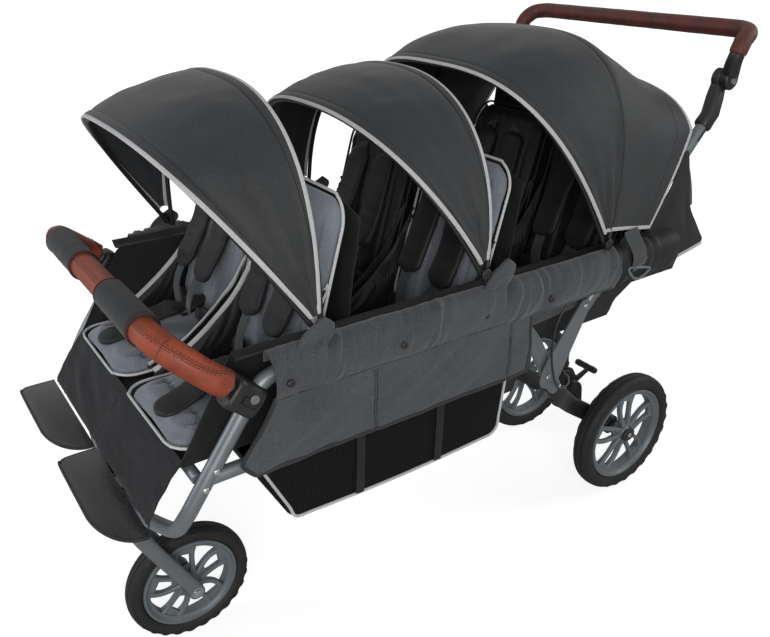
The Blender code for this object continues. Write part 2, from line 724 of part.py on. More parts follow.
def bumper_pieces():
    path = bumper_path()
    piece("bumper_bar", tube(path, BUMPER_BAR_RADIUS, sides=10), FRAME_PAINT, BUMPER_AXIS)
    grip = sleeve(path, BUMPER_GRIP_RADIUS, BUMPER_BAR_RADIUS + GAP, trim=0.022)
    piece("bumper_grip", grip, LEATHER, BUMPER_AXIS)
    for side, sign in SIDES.items():
        along = Vector((0, -math.cos(SOCKET_SLOPE), math.sin(SOCKET_SLOPE)))
        upright = Vector((0, math.sin(SOCKET_SLOPE), math.cos(SOCKET_SLOPE)))
        front = socket_point(sign, 0.0225)
        back = front - along * CLAMP_LENGTH
        bevelled = []
        for centre, shrink in ((back, 0.80), (back + along * 0.006, 1.0),
                               (front - along * 0.006, 1.0), (front, 0.80)):
            middle = centre - upright * 0.006
            bevelled.append(
                oval(middle, Vector((1, 0, 0)), upright, CLAMP_THICKNESS / 2 * shrink * 1.12,
                     CLAMP_DEPTH / 2 * shrink * 1.12, 8)
            )
        clamp = piece(f"bumper_clamp_{side}", loft(bevelled), BLACK_PLASTIC)
        cut(clamp, tube(front_tube_path(sign), TUBE_RADIUS + GAP))
        bore = [socket_point(sign, 0.006 - GAP), socket_point(sign, 0.060)]
        cut(clamp, tube(bore, BUMPER_BAR_RADIUS + GAP, sides=10))
        face = sign * (RAIL_X + CLAMP_THICKNESS / 2 * 1.12 * math.cos(math.pi / 8))
        spot = socket_point(sign, -0.010)
        button_place = Vector((face, spot.y, spot.z))
        cut(clamp, rod(button_place, BUTTON_RADIUS - 0.001 + GAP, 2 * 0.006, sides=16))
        inner = abs(face) - 0.0015
        outer = abs(face) + 0.0032
        centre = Vector((sign * (inner + outer) / 2, spot.y, spot.z))
        carrier = axis_empty(f"bumper_button_axis_{side}", centre)
        button = rod(centre, BUTTON_RADIUS - 0.001, outer - inner, sides=16)
        piece(f"bumper_button_{side}", button, GREY_PLASTIC, carrier)


def cushion_path(back):
    """The middle line of a seat pad: along the seat, round the fold and up the back."""
    rise = Vector((0, math.sin(BACK_LEAN), math.cos(BACK_LEAN)))
    level = SEAT_SURFACE + SLING_THICKNESS + 3 * GAP + CUSHION_THICKNESS / 2
    front = back - SEAT_DEPTH
    fold = place(0, back - 0.016, level + 0.014)
    return even_path(
        [
            place(0, front - 0.010, level + 0.001),
            place(0, front + 0.020, level + 0.0005),
            place(0, front + 0.110, level),
            place(0, back - 0.042, level + 0.001),
            fold + Vector((0, 0.002, 0.004)),
            fold + rise * 0.050,
            fold + rise * 0.160,
            fold + rise * (BACK_HEIGHT - 0.010),
        ],
        18,
    )


def seat_pieces():
    """One padded liner a seat, folded between seat and back, with drawn-in sides and cross channels."""
    half_width = (SEAT_EDGE_X - SEAT_MIDDLE_GAP / 2) / 2
    centre_x = (SEAT_EDGE_X + SEAT_MIDDLE_GAP / 2) / 2
    section = 10
    for row, back in zip(("front", "middle", "rear"), ROW_BACKS):
        path = cushion_path(back)
        for side, sign in SIDES.items():
            rings = []
            for i, (point, across, upright) in enumerate(path_frames(path, Vector((1, 0, 0)))):
                along = i / (len(path) - 1)
                ends = min(along, 1 - along) * 9
                width = half_width * (1 - 0.30 * max(0.0, 1 - ends) ** 2.2)
                thick = CUSHION_THICKNESS / 2 * (0.62 + 0.38 * min(1.0, ends * 1.6))
                channel = 1 - 0.16 * math.cos(2 * math.pi * along * 6) ** 8
                ring = []
                for k in range(section):
                    angle = 2 * math.pi * (k + 0.5) / section
                    c, s = math.cos(angle), math.sin(angle)
                    x = width * math.copysign(abs(c) ** 0.55, c)
                    crown = 1.0 if s < 0 else channel
                    lift = thick * math.copysign(abs(s) ** 0.75, s) * crown
                    ring.append(point + Vector((sign * centre_x, 0, 0)) + across * x - upright * lift)
                rings.append(ring)
            piece(f"seat_{row}_{side}", loft(rings), CUSHION_CLOTH)


def offset_strip(points, thickness):
    """A closed outline of even thickness below a line of (station, height) points."""
    lower = []
    for i, (s, z) in enumerate(points):
        before = points[max(i - 1, 0)]
        after = points[min(i + 1, len(points) - 1)]
        normals = []
        for a, b in ((before, (s, z)), ((s, z), after)):
            length = math.hypot(b[0] - a[0], b[1] - a[1])
            if length > 0:
                normals.append(((b[1] - a[1]) / length, -(b[0] - a[0]) / length))
        nx = sum(n[0] for n in normals)
        nz = sum(n[1] for n in normals)
        scale = len(normals) / (nx * nx + nz * nz)
        lower.append((s + nx * scale * thickness, z + nz * scale * thickness))
    return points + lower[::-1]


def textile_pieces():
    """The sling under the seats, the side panels, the rear wall and the basket."""
    top = SEAT_SURFACE + SLING_THICKNESS
    line = [(LEG_REST_STATION, LEG_REST_HEIGHT)]
    for i, back in enumerate(ROW_BACKS):
        front = back - SEAT_DEPTH
        line += [(front - 0.012, top), (back + 0.006, top)]
        if i < 2:
            next_front = ROW_BACKS[i + 1] - SEAT_DEPTH
            line += [(back + 0.016, FOOTWELL_FLOOR), (next_front - 0.022, FOOTWELL_FLOOR)]
    lip = REAR_CROSS_STATION - CROSS_TUBE_RADIUS - SLING_THICKNESS - GAP
    line += [(lip - 0.012, RAIL_HEIGHT - 0.030), (lip, RAIL_HEIGHT + 0.004)]
    strip = offset_strip(line, SLING_THICKNESS)
    sling = piece("seat_sling", slab(strip, -SLING_EDGE_X, SLING_EDGE_X), LINING)
    foot = [(s, z - SLING_THICKNESS / 2) for s, z in line[1:-2]]
    foot[0] = (foot[0][0] + 0.001, foot[0][1])
    wall = foot + [(0.840, 0.584), (0.945, 0.645), (0.945, TUB_WALL_TOP), (0.030, TUB_WALL_TOP)]
    for sign in SIDES.values():
        x_in, x_out = sorted((sign * TUB_WALL_X, sign * SLING_EDGE_X))
        join(sling, slab(wall, x_in, x_out))
    rear_tube = place(0, REAR_CROSS_STATION, RAIL_HEIGHT)
    cut(sling, rod(rear_tube, CROSS_TUBE_RADIUS + GAP, 0.7, sides=12))

    for side, sign in SIDES.items():
        piece(f"side_panel_{side}", side_panel(sign), TWILL)

    wall_foot = REAR_CROSS_STATION + CROSS_TUBE_RADIUS + GAP
    wall_line = [(wall_foot, RAIL_HEIGHT - 0.014), (wall_foot, RAIL_HEIGHT + 0.014), (0.945, REAR_WALL_TOP)]
    wall = slab(offset_strip(wall_line, SLING_THICKNESS), -SLING_EDGE_X + 0.004, SLING_EDGE_X - 0.004)
    piece("rear_wall", wall, LINING)
    basket = piece("basket", basket_shell(), MESH_CLOTH)
    notch_floor = FOOTWELL_FLOOR - SLING_THICKNESS - 2 * GAP
    notch = [(0.42, notch_floor), (0.62, notch_floor), (0.62, 0.60), (0.42, 0.60)]
    cut(basket, slab(notch, -SLING_EDGE_X - 2 * GAP, SLING_EDGE_X + 2 * GAP))


def side_panel(sign):
    """A padded roll over the rail with gathers, and a flat panel that hangs from it."""
    rings = []
    rail_top = RAIL_HEIGHT + TUBE_RADIUS + 2 * GAP
    skirt = (PANEL_REAR - PANEL_FRONT_BOTTOM) / (RAIL_END - PANEL_FRONT_BOTTOM)
    shares = [skirt * i / 20 for i in range(21)] + [skirt + 0.008 + (0.992 - skirt) * i / 10 for i in range(11)]
    for u in shares:
        gather = 0.0013 * math.sin(u * 150) * math.sin(math.pi * min(1.0, u * 8))
        swell = 0.0012 * math.sin(u * 19 + 1)
        middle = 0.5 + 0.5 * math.cos(2 * math.pi * u * 4)
        bulge = 0.0022 * (1 - middle) + swell
        bottom = PANEL_BOTTOM if u <= skirt else HEM_HEIGHT - 0.006
        low_mid = (bottom + HEM_HEIGHT) / 2
        inner = PANEL_X
        profile = [
            (RAIL_X - TUBE_RADIUS - 0.0004, rail_top),
            (RAIL_X - TUBE_RADIUS - 0.0004, ROLL_TOP - 0.008),
            (RAIL_X - 0.004, ROLL_TOP),
            (RAIL_X + 0.012, ROLL_TOP - 0.003),
            (ROLL_X - 0.003, ROLL_TOP - 0.014 + gather),
            (ROLL_X + gather, 0.692),
            (ROLL_X - 0.002 + gather, 0.672),
            (PANEL_X + CLOTH + 0.001, HEM_HEIGHT),
            (PANEL_X + CLOTH + bulge, low_mid),
            (PANEL_X + CLOTH, bottom),
            (inner, bottom),
            (inner + bulge, low_mid),
            (inner + 0.0002, HEM_HEIGHT),
            (inner + 0.0004, 0.693),
            (RAIL_X + 0.009, rail_top - 0.0005),
            (RAIL_X + 0.002, rail_top + 0.0004),
        ]
        ring = []
        for x, z in profile:
            slant = min(1.0, max(0.0, (z - 0.560) / 0.095))
            start = PANEL_FRONT_BOTTOM + (PANEL_FRONT_TOP - PANEL_FRONT_BOTTOM) * slant
            ring.append(place(sign * x, start + (RAIL_END - start) * u, z))
        rings.append(ring)
    return loft(rings)


def basket_shell():
    """An open tray of mesh with sloping ends, hung under the cross tubes."""
    outer_top = (0.034, 0.545)
    outer_floor = (0.094, 0.528)

    def ring(shrink, z, ends):
        front, back = ends
        x = BASKET_X - shrink
        corner = 0.012
        corners = []
        for sx, s in ((1, front), (1, back), (-1, back), (-1, front)):
            inward = shrink if s == front else -shrink
            cut_s = corner if s == front else -corner
            a = place(sx * x, s + inward + cut_s, z)
            b = place(sx * (x - corner), s + inward, z)
            corners += [a, b] if (sx > 0) == (s == back) else [b, a]
        return corners

    rings = [
        ring(BASKET_WALL, BASKET_TOP - GAP, outer_top),
        ring(BASKET_WALL, BASKET_FLOOR + BASKET_WALL, outer_floor),
        ring(0.0, BASKET_FLOOR, outer_floor),
        ring(0.0, BASKET_TOP - GAP, outer_top),
    ]
    bm = bmesh.new()
    rows = [[bm.verts.new(point) for point in points] for points in rings]
    count = len(rows[0])
    for first, second in ((rows[0], rows[1]), (rows[2], rows[3]), (rows[3], rows[0])):
        for i in range(count):
            j = (i + 1) % count
            bm.faces.new((first[i], first[j], second[j], second[i]))
    bm.faces.new(rows[1])
    bm.faces.new(rows[2])
    return bm


def footrest_pieces():
    """Two flat plates hinged to the lower edge of the leg rest, each with one large rounded corner."""
    back = LEG_REST_STATION - HINGE_STEP
    front = -FRONT_REACH
    for side, sign in SIDES.items():
        far = FOOTREST_MIDDLE_X if sign > 0 else -FOOTREST_EDGE_X
        near = FOOTREST_EDGE_X if sign > 0 else -FOOTREST_MIDDLE_X
        outline = [(far, back), (far, front + 0.014), (far + 0.006, front + 0.004), (far + 0.018, front)]
        depth = back - front
        for i in range(9):
            angle = math.pi / 2 * i / 8
            x = near - FOOTREST_CORNER + FOOTREST_CORNER * math.sin(angle)
            outline.append((x, front + depth * 0.94 * (1 - math.cos(angle))))
        outline.append((near, back))
        z = LEG_REST_HEIGHT - HINGE_STEP
        low = [place(x, s, z - FOOTREST_THICKNESS) for x, s in outline]
        high = [place(x, s, z) for x, s in outline]
        carrier = axis_empty(f"footrest_axis_{side}", place(0, back, LEG_REST_HEIGHT - HINGE_STEP))
        piece(f"footrest_{side}", loft([low, high]), BLACK_PLASTIC, carrier)


def arch_point(pivot, height, roundness, angle, t, grow=0.0, ahead=0.0):
    """A point of a canopy arch: a rounded hoop at an angle about its pivots, and set ahead of them."""
    station, z = pivot
    half = CANOPY_HALF_WIDTH + grow
    c, s = math.cos(t), math.sin(t)
    x = half * math.copysign(abs(c) ** (2 / roundness), c)
    r = (height + grow) * abs(s) ** (2 / roundness)
    return place(
        x,
        station + r * math.cos(angle) - ahead * math.sin(angle),
        z + r * math.sin(angle) + ahead * math.cos(angle),
    )


def rear_edge_point(t, roundness, grow):
    """The back edge of the rear canopy, which stands between the handle tubes."""
    c, s = math.cos(t), math.sin(t)
    u = abs(s) ** (2 / roundness)
    x = (CANOPY_HALF_WIDTH - 0.008 + grow) * math.copysign(abs(c) ** (2 / roundness), c)
    side = min(1.0, u / 0.5)
    over = max(0.0, (u - 0.5) / 0.5)
    station = 0.865 + (CANOPY_REAR_EDGE - 0.865) * side
    z = 0.740 + (CANOPY_CORNER_HEIGHT - 0.740) * side
    z += (CANOPY_BACK_HEIGHT - CANOPY_CORNER_HEIGHT) * over + grow * side
    return place(x, station, z)


def canopy_pieces():
    """Three hoods: cloth over a hoop that folds back and a fixed hoop that stands on the side panels."""
    flat = BOW_RADIUS * math.cos(math.pi / 6)
    for name, (station, z, height, roundness, front_edge, rear_edge) in CANOPIES.items():
        pivot = (station, z)
        front_edge = math.radians(front_edge)
        rear_edge = math.radians(rear_edge)
        start = math.asin((HUB_CLEARANCE / height) ** (roundness / 2))
        hoops = 16
        steps = [start + (math.pi - 2 * start) * i / hoops for i in range(hoops + 1)]
        panels = 5
        rings = []
        for t in steps:
            inner, outer = [], []
            for k in range(panels + 1):
                angle = front_edge + (rear_edge - front_edge) * k / panels
                inner.append(arch_point(pivot, height, roundness, angle, t))
                outer.append(arch_point(pivot, height, roundness, angle, t, CANOPY_CLOTH))
            if name == "rear":
                for share in (0.34, 0.67, 1.0):
                    inner.append(inner[panels].lerp(rear_edge_point(t, roundness, 0), share))
                    outer.append(outer[panels].lerp(rear_edge_point(t, roundness, CANOPY_CLOTH), share))
            rings.append(inner + outer[::-1])
        piece(f"canopy_{name}", loft(rings), TWILL)

        hoop_steps = [0.0] + steps + [math.pi]
        carrier = axis_empty(f"canopy_{name}_axis", place(0, station, z))
        inset = flat + RUNNING_GAP
        angle = front_edge - BOW_SET_BACK
        bow_path = [
            arch_point(pivot, height, roundness, angle, t, -inset, BOW_OFFSET) for t in hoop_steps
        ]
        bow = piece(f"canopy_bow_{name}", tube(bow_path, BOW_RADIUS, sides=6), GREY_PLASTIC, carrier)
        stay_inset = flat + 2 * GAP
        hub_in = CANOPY_HALF_WIDTH - stay_inset + flat + GAP
        hub_out = hub_in + 0.0055
        for sign, foot in ((1, bow_path[0]), (-1, bow_path[-1])):
            hub = rod(place(sign * (hub_in + hub_out) / 2, station, z), HUB_RADIUS, hub_out - hub_in, sides=12)
            join(bow, hub)
            link_out = hub_in + 0.001
            link_in = abs(foot.x)
            link = Vector((sign * (link_in + link_out) / 2, foot.y, foot.z))
            join(bow, rod(link, BOW_RADIUS * 0.9, link_out - link_in, sides=8))

        angle = rear_edge + BOW_SET_BACK
        stay_path = [
            arch_point(pivot, height, roundness, angle, t, -stay_inset, -BOW_OFFSET) for t in hoop_steps
        ]
        feet = [Vector((p.x, p.y, ROLL_TOP + GAP)) for p in (stay_path[0], stay_path[-1])]
        stay = tube(feet[:1] + stay_path + feet[1:], BOW_RADIUS, sides=6)
        piece(f"canopy_stay_{name}", stay, GREY_PLASTIC)


frame_pieces()
wheel_pieces()
fork_pieces()
rear_leg_pieces()
brake_pieces()
handle_pieces()
handlebar_pieces()
bumper_pieces()
seat_pieces()
textile_pieces()
footrest_pieces()
canopy_pieces()
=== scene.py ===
import json
import math

import bmesh
import bpy
import numpy as np
from mathutils import Matrix, Vector, noise

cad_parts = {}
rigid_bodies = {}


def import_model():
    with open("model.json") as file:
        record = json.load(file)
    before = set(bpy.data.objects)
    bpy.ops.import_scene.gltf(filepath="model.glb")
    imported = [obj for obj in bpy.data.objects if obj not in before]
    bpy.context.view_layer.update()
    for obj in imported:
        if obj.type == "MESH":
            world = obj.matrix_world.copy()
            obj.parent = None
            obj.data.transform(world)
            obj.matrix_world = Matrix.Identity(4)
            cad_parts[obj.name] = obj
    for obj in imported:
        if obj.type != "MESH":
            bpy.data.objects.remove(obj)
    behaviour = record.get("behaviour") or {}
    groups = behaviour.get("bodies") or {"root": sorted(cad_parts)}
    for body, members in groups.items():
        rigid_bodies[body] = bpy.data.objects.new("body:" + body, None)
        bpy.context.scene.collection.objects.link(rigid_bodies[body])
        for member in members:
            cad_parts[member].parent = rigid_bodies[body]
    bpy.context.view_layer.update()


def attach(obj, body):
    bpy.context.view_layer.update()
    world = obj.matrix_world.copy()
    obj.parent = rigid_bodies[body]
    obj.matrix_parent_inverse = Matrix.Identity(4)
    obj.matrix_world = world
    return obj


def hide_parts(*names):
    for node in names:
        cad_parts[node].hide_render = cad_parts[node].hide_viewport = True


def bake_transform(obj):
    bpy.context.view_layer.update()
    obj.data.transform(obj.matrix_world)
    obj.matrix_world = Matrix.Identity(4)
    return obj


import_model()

# Studio: a white sweep that keeps the stroller's soft shadow, one large soft lamp beside the
# camera, one weaker from the front and a third from behind.
FRONT_AXLE_Y = -0.5065
SIDES = {"left": 1, "right": -1}


def place(x, station, z):
    """A point from its distance out, its distance behind the front axle and its height."""
    return Vector((x, FRONT_AXLE_Y + station, z))


def placed(rows, sign=1):
    """Points from rows of (distance out, station, height), on the left or mirrored to the right."""
    return [place(sign * x, station, z) for x, station, z in rows]


def linear(code):
    """The linear colour of an sRGB hex value."""
    channels = [int(code[i : i + 2], 16) / 255 for i in (1, 3, 5)]
    return (*[c / 12.92 if c <= 0.04045 else ((c + 0.055) / 1.055) ** 2.4 for c in channels], 1.0)


def add(tree, kind, sockets=(), **settings):
    """A node with its settings, and its sockets as values or as (node, output) links."""
    made = tree.nodes.new(kind)
    for name, value in settings.items():
        setattr(made, name, value)
    for name, value in dict(sockets).items():
        if isinstance(value, tuple) and isinstance(value[0], bpy.types.Node):
            outputs = [o for o in value[0].outputs if o.enabled and o.name == value[1]]
            tree.links.new(outputs[0], made.inputs[name])
        else:
            made.inputs[name].default_value = value
    return made


def calc(tree, operation, *values):
    """A sum on values or (node, output) links."""
    return add(tree, "ShaderNodeMath", dict(enumerate(values)), operation=operation)


def remap(tree, value, low=0.0, high=1.0, to_low=0.0, to_high=1.0):
    """A value stretched from one range to another."""
    ranges = {"Value": value, "From Min": low, "From Max": high, "To Min": to_low, "To Max": to_high}
    return add(tree, "ShaderNodeMapRange", ranges)


def link_object(name, mesh):
    obj = bpy.data.objects.new(name, mesh)
    bpy.context.scene.collection.objects.link(obj)
    return obj


camera = bpy.data.cameras.new("photo_view")
camera.lens = 36.81
camera.clip_end = 200
camera_object = link_object("photo_view", camera)
camera_object.location = (1.159, FRONT_AXLE_Y - 0.339, 1.232)
camera_object.rotation_euler = (math.radians(64.1), 0, math.radians(55.4))
bpy.context.scene.camera = camera_object
bpy.context.scene.view_settings.view_transform = "Standard"

for lamp_name, spot, size, power, colour in (
    ("key_lamp", (3.2, -2.0, 1.9), 2.2, 112, "#fffaf4"),
    ("front_lamp", (-1.6, -3.4, 1.9), 2.0, 46, "#f4f8ff"),
    ("back_lamp", (1.8, 3.2, 2.6), 1.6, 40, "#ffffff"),
):
    lamp = bpy.data.lights.new(lamp_name, "AREA")
    lamp.size, lamp.energy, lamp.color = size, power, linear(colour)[:3]
    lamp_object = link_object(lamp_name, lamp)
    lamp_object.location = spot
    aim = Vector((0, 0, 0.55)) - Vector(spot)
    lamp_object.rotation_euler = aim.to_track_quat("-Z", "Y").to_euler()

world = bpy.data.worlds.new("white_sweep")
bpy.context.scene.world = world
world.use_nodes = True
sky = world.node_tree
sky.nodes.clear()
seen = add(sky, "ShaderNodeLightPath")
mirrored_or_seen = calc(sky, "MAXIMUM", (seen, "Is Camera Ray"), (seen, "Is Transmission Ray"))
glossy = calc(sky, "MULTIPLY", (seen, "Is Glossy Ray"), 0.55)
bright = calc(sky, "MAXIMUM", (mirrored_or_seen, "Value"), (glossy, "Value"))
strength = remap(sky, (bright, "Value"), to_low=0.26)
white = add(sky, "ShaderNodeBackground", {"Color": (1, 1, 1, 1), "Strength": (strength, "Result")})
add(sky, "ShaderNodeOutputWorld", {"Surface": (white, "Background")})

floor_mesh = bpy.data.meshes.new("floor")
floor_mesh.from_pydata([(-60, -60, 0), (60, -60, 0), (60, 60, 0), (-60, 60, 0)], [], [(0, 1, 2, 3)])
floor = link_object("floor", floor_mesh)
floor_paint = bpy.data.materials.new("white_paper_sweep")
floor_paint.use_nodes = True
paper = floor_paint.node_tree
paper.nodes.clear()
paper_seen = add(paper, "ShaderNodeLightPath")
paper_lit = add(paper, "ShaderNodeBsdfDiffuse", {"Color": (0.36, 0.36, 0.36, 1)})
paper_place = add(paper, "ShaderNodeNewGeometry")
paper_far = add(paper, "ShaderNodeVectorMath", {0: (paper_place, "Position")}, operation="LENGTH")
paper_rise = remap(paper, (paper_far, "Value"), 1.4, 3.6, 0.80)
paper_glow = add(paper, "ShaderNodeEmission", {"Color": (1, 1, 1, 1), "Strength": (paper_rise, "Result")})
paper_both = add(paper, "ShaderNodeAddShader", {0: (paper_lit, "BSDF"), 1: (paper_glow, "Emission")})
paper_plain = add(paper, "ShaderNodeBsdfDiffuse", {"Color": (0.62, 0.62, 0.62, 1)})
paper_mix = add(paper, "ShaderNodeMixShader",
                {0: (paper_seen, "Is Camera Ray"), 1: (paper_plain, "BSDF"), 2: (paper_both, "Shader")})
add(paper, "ShaderNodeOutputMaterial", {"Surface": (paper_mix, "Shader")})
floor_mesh.materials.append(floor_paint)


# Main frame: drawn aluminium tube, 24 mm across on the rails, welded and powder coated satin
# The coat is slightly pebbled, and a little lighter in soft patches of wear.
TUBE_RADIUS = 0.012
RAIL_X, RAIL_HEIGHT, RAIL_END = 0.288, 0.688, 0.930
HEAD_CENTRE = place(0, -0.100, 0.3815)


def coated(name, code, roughness, metallic=0.0, specular=0.5):
    """A material with its shader and its Object coordinates, to which a finish adds its pattern."""
    mat = bpy.data.materials.new(name)
    mat.use_nodes = True
    tree = mat.node_tree
    shader = tree.nodes["Principled BSDF"]
    shader.inputs["Base Color"].default_value = linear(code)
    shader.inputs["Roughness"].default_value = roughness
    shader.inputs["Metallic"].default_value = metallic
    shader.inputs["Specular IOR Level"].default_value = specular
    return mat, tree, shader, add(tree, "ShaderNodeTexCoord")


def tint(tree, shader, share, dark, light):
    """The base colour: two shades mixed by a share."""
    shade = add(tree, "ShaderNodeMix", {0: share, 6: linear(dark), 7: linear(light)}, data_type="RGBA")
    tree.links.new(shade.outputs[2], shader.inputs["Base Color"])
    return shade


def relief(tree, shader, strength, depth, height):
    """The fine relief of a surface, at its real depth."""
    bump = add(tree, "ShaderNodeBump", {"Strength": strength, "Distance": depth, "Height": height})
    tree.links.new(bump.outputs["Normal"], shader.inputs["Normal"])


def moulded(name, code, worn, roughness, metallic=0.0, grain=0.0008, depth=0.00006, patch=0.05, specular=0.5):
    """A hard finish: two close shades in soft patches, and a fine grain of a real size."""
    mat, tree, shader, spot = coated(name, code, roughness, metallic, specular)
    where = (spot, "Object")
    patches = add(tree, "ShaderNodeTexNoise", {"Vector": where, "Scale": 1 / patch, "Detail": 4.0, "Roughness": 0.6})
    tint(tree, shader, (patches, "Fac"), code, worn)
    rough = remap(tree, (patches, "Fac"), to_low=roughness * 0.82, to_high=min(1.0, roughness * 1.2))
    tree.links.new(rough.outputs["Result"], shader.inputs["Roughness"])
    pebbles = add(tree, "ShaderNodeTexNoise", {"Vector": where, "Scale": 1 / grain, "Detail": 1.0})
    relief(tree, shader, 0.6, depth, (pebbles, "Fac"))
    return mat


GREY_COAT = moulded("satin_grey_powder_coat", "#5f656a", "#6f757a", 0.38, metallic=0.45, grain=0.0012)


def smooth_path(points, steps=10):
    """Points on a smooth curve that passes through the given ones."""
    points = [Vector(point) for point in points]
    ends = [points[0] * 2 - points[1]] + points + [points[-1] * 2 - points[-2]]
    path = []
    for i in range(1, len(ends) - 2):
        a, b, c, d = ends[i - 1 : i + 3]
        for step in range(steps):
            t = step / steps
            path.append(0.5 * (2 * b + (c - a) * t + (2 * a - 5 * b + 4 * c - d) * t**2 +
                               (3 * b - a - 3 * c + d) * t**3))
    return path + [points[-1]]


def path_lengths(path):
    """How far along a path each of its points is."""
    lengths = [0.0]
    for a, b in zip(path, path[1:]):
        lengths.append(lengths[-1] + (b - a).length)
    return lengths


def even_path(points, count):
    """Evenly spaced points along a smooth curve through the given ones."""
    fine = smooth_path(points, 24)
    lengths = path_lengths(fine)
    result, k = [], 0
    for i in range(count):
        target = lengths[-1] * i / (count - 1)
        while k < len(fine) - 2 and lengths[k + 1] < target:
            k += 1
        result.append(fine[k].lerp(fine[k + 1], (target - lengths[k]) / (lengths[k + 1] - lengths[k])))
    return result


def path_frames(path, side=(1, 0, 0)):
    """The point, side direction and upright all along a path, without twist."""
    side = Vector(side)
    frames = []
    for i, point in enumerate(path):
        tangent = (path[min(i + 1, len(path) - 1)] - path[max(i - 1, 0)]).normalized()
        side = (side - tangent * side.dot(tangent)).normalized()
        frames.append((point, side, tangent.cross(side)))
    return frames


def power(value, exponent):
    return math.copysign(abs(value) ** exponent, value)


def section(frame_at, width, height, sides=24, flat=1.0):
    """A ring of points round a path: an oval, or with flat below 1 a box with round corners."""
    point, across, upright = frame_at
    ring = []
    for i in range(sides):
        angle = 2 * math.pi * (i + 0.5) / sides
        flank = point + across * (width * power(math.cos(angle), flat))
        ring.append(flank + upright * (height * power(math.sin(angle), flat)))
    return ring


def loft(rings, closed=False, bm=None):
    """A closed skin through rings of points."""
    bm = bm or bmesh.new()
    rows = [[bm.verts.new(point) for point in ring] for ring in rings]
    count = len(rows[0])
    for first, second in list(zip(rows, rows[1:])) + ([(rows[-1], rows[0])] if closed else []):
        for i in range(count):
            j = (i + 1) % count
            bm.faces.new((first[i], first[j], second[j], second[i]))
    if not closed:
        bm.faces.new(rows[0][::-1])
        bm.faces.new(rows[-1])
    return bm


def tube(path, width, height=None, sides=24, side=(1, 0, 0), flat=1.0, edge=0.0, bm=None):
    """A bar along a path. Its ends are rounded by edge, and width may be one value for each point."""
    frames = path_frames(path, side)
    widths = width if isinstance(width, list) else [width] * len(path)
    ratio = 1.0 if height is None else height / widths[0]
    rings = [section(f, w, w * ratio, sides, flat) for f, w in zip(frames, widths)]
    if edge:
        for end, inner in ((0, 1), (-1, -2)):
            point, across, upright = frames[end]
            inward = (path[inner] - path[end]).normalized()
            w = widths[end]
            rounded = [
                section((point + inward * edge * (1 - math.cos(a)), across, upright),
                        w - edge * (1 - math.sin(a)), w * ratio - edge * (1 - math.sin(a)), sides, flat)
                for a in (0.0, math.pi / 6, math.pi / 3)
            ]
            moved = section((point + inward * edge, across, upright), w, w * ratio, sides, flat)
            rings = rounded + [moved] + rings[1:] if end == 0 else rings[:-1] + [moved] + rounded[::-1]
    return loft(rings, bm=bm)


def rod(centre, radius, length, sides=28, edge=0.0, bm=None):
    """A straight round bar across the stroller, about its middle."""
    half = Vector((length / 2, 0, 0))
    return tube([centre - half, centre + half], radius, sides=sides, side=(0, 0, 1), edge=edge, bm=bm)


def turned(profile, centre, steps=48, direction=(1, 0, 0), bm=None):
    """A ring turned about an axis through a centre, from a closed profile of (along, radius)."""
    axis = Vector(direction).normalized()
    first = axis.orthogonal().normalized()
    second = axis.cross(first)
    rings = []
    for i in range(steps):
        angle = 2 * math.pi * i / steps
        outward = first * math.cos(angle) + second * math.sin(angle)
        rings.append([centre + axis * x + outward * r for x, r in profile])
    return loft(rings, closed=True, bm=bm)


def flipped(profile, sign):
    """A turned profile of the left side, for the side of a sign."""
    return [(sign * x, r) for x, r in profile]


def slab(outline, x_low, x_high, bm=None):
    """A flat plate across X from an outline of (station, height) points."""
    rings = [[place(x, s, z) for s, z in outline] for x in (x_low, x_high)]
    return loft(rings, bm=bm)


def rounded_outline(outline, radius, steps=5):
    """The same outline with its corners rounded."""
    result = []
    count = len(outline)
    for i in range(count):
        here = Vector(outline[i])
        before, after = Vector(outline[i - 1]) - here, Vector(outline[(i + 1) % count]) - here
        reach = min(radius, before.length * 0.45, after.length * 0.45)
        a, b = here + before.normalized() * reach, here + after.normalized() * reach
        for k in range(steps + 1):
            t = k / steps
            result.append(tuple(a * (1 - t) ** 2 + here * 2 * t * (1 - t) + b * t * t))
    return result


def fit(name, bm, mat, body, replaces=(), sharp=38, soften=0.0):
    """Makes the finished piece in its own place and hangs it on its body."""
    bmesh.ops.remove_doubles(bm, verts=bm.verts, dist=1e-6)
    bmesh.ops.recalc_face_normals(bm, faces=bm.faces)
    if bm.calc_volume(signed=True) < 0:
        bmesh.ops.reverse_faces(bm, faces=bm.faces)
    if soften:
        edges = [e for e in bm.edges if len(e.link_faces) == 2 and e.calc_face_angle() > math.radians(sharp)]
        bmesh.ops.bevel(bm, geom=edges, offset=soften, segments=2, profile=0.7, affect="EDGES", clamp_overlap=True)
    mesh = bpy.data.meshes.new(name)
    bm.to_mesh(mesh)
    bm.free()
    mesh.materials.append(mat)
    mesh.shade_smooth()
    mesh.set_sharp_from_angle(angle=math.radians(sharp))
    obj = link_object(name, mesh)
    if body:
        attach(obj, body)
    if replaces:
        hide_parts(*replaces)
    return obj


def front_tube_path(sign):
    rail = [place(sign * RAIL_X, RAIL_END - 0.09 * i, RAIL_HEIGHT) for i in range(9)]
    return rail + smooth_path(placed([
        (RAIL_X, 0.120, RAIL_HEIGHT), (RAIL_X, 0.072, 0.6845), (RAIL_X, 0.042, 0.664), (RAIL_X, -0.010, 0.593),
        (0.287, -0.052, 0.533), (0.278, -0.074, 0.492), (0.240, -0.080, 0.449), (0.160, -0.085, 0.408),
        (0.090, -0.094, 0.386), (0.0105, -0.100, 0.379)], sign))


def bar_across(reach, station, height):
    """A straight path from side to side."""
    return [place(reach * k / 4, station, height) for k in range(-4, 5)]


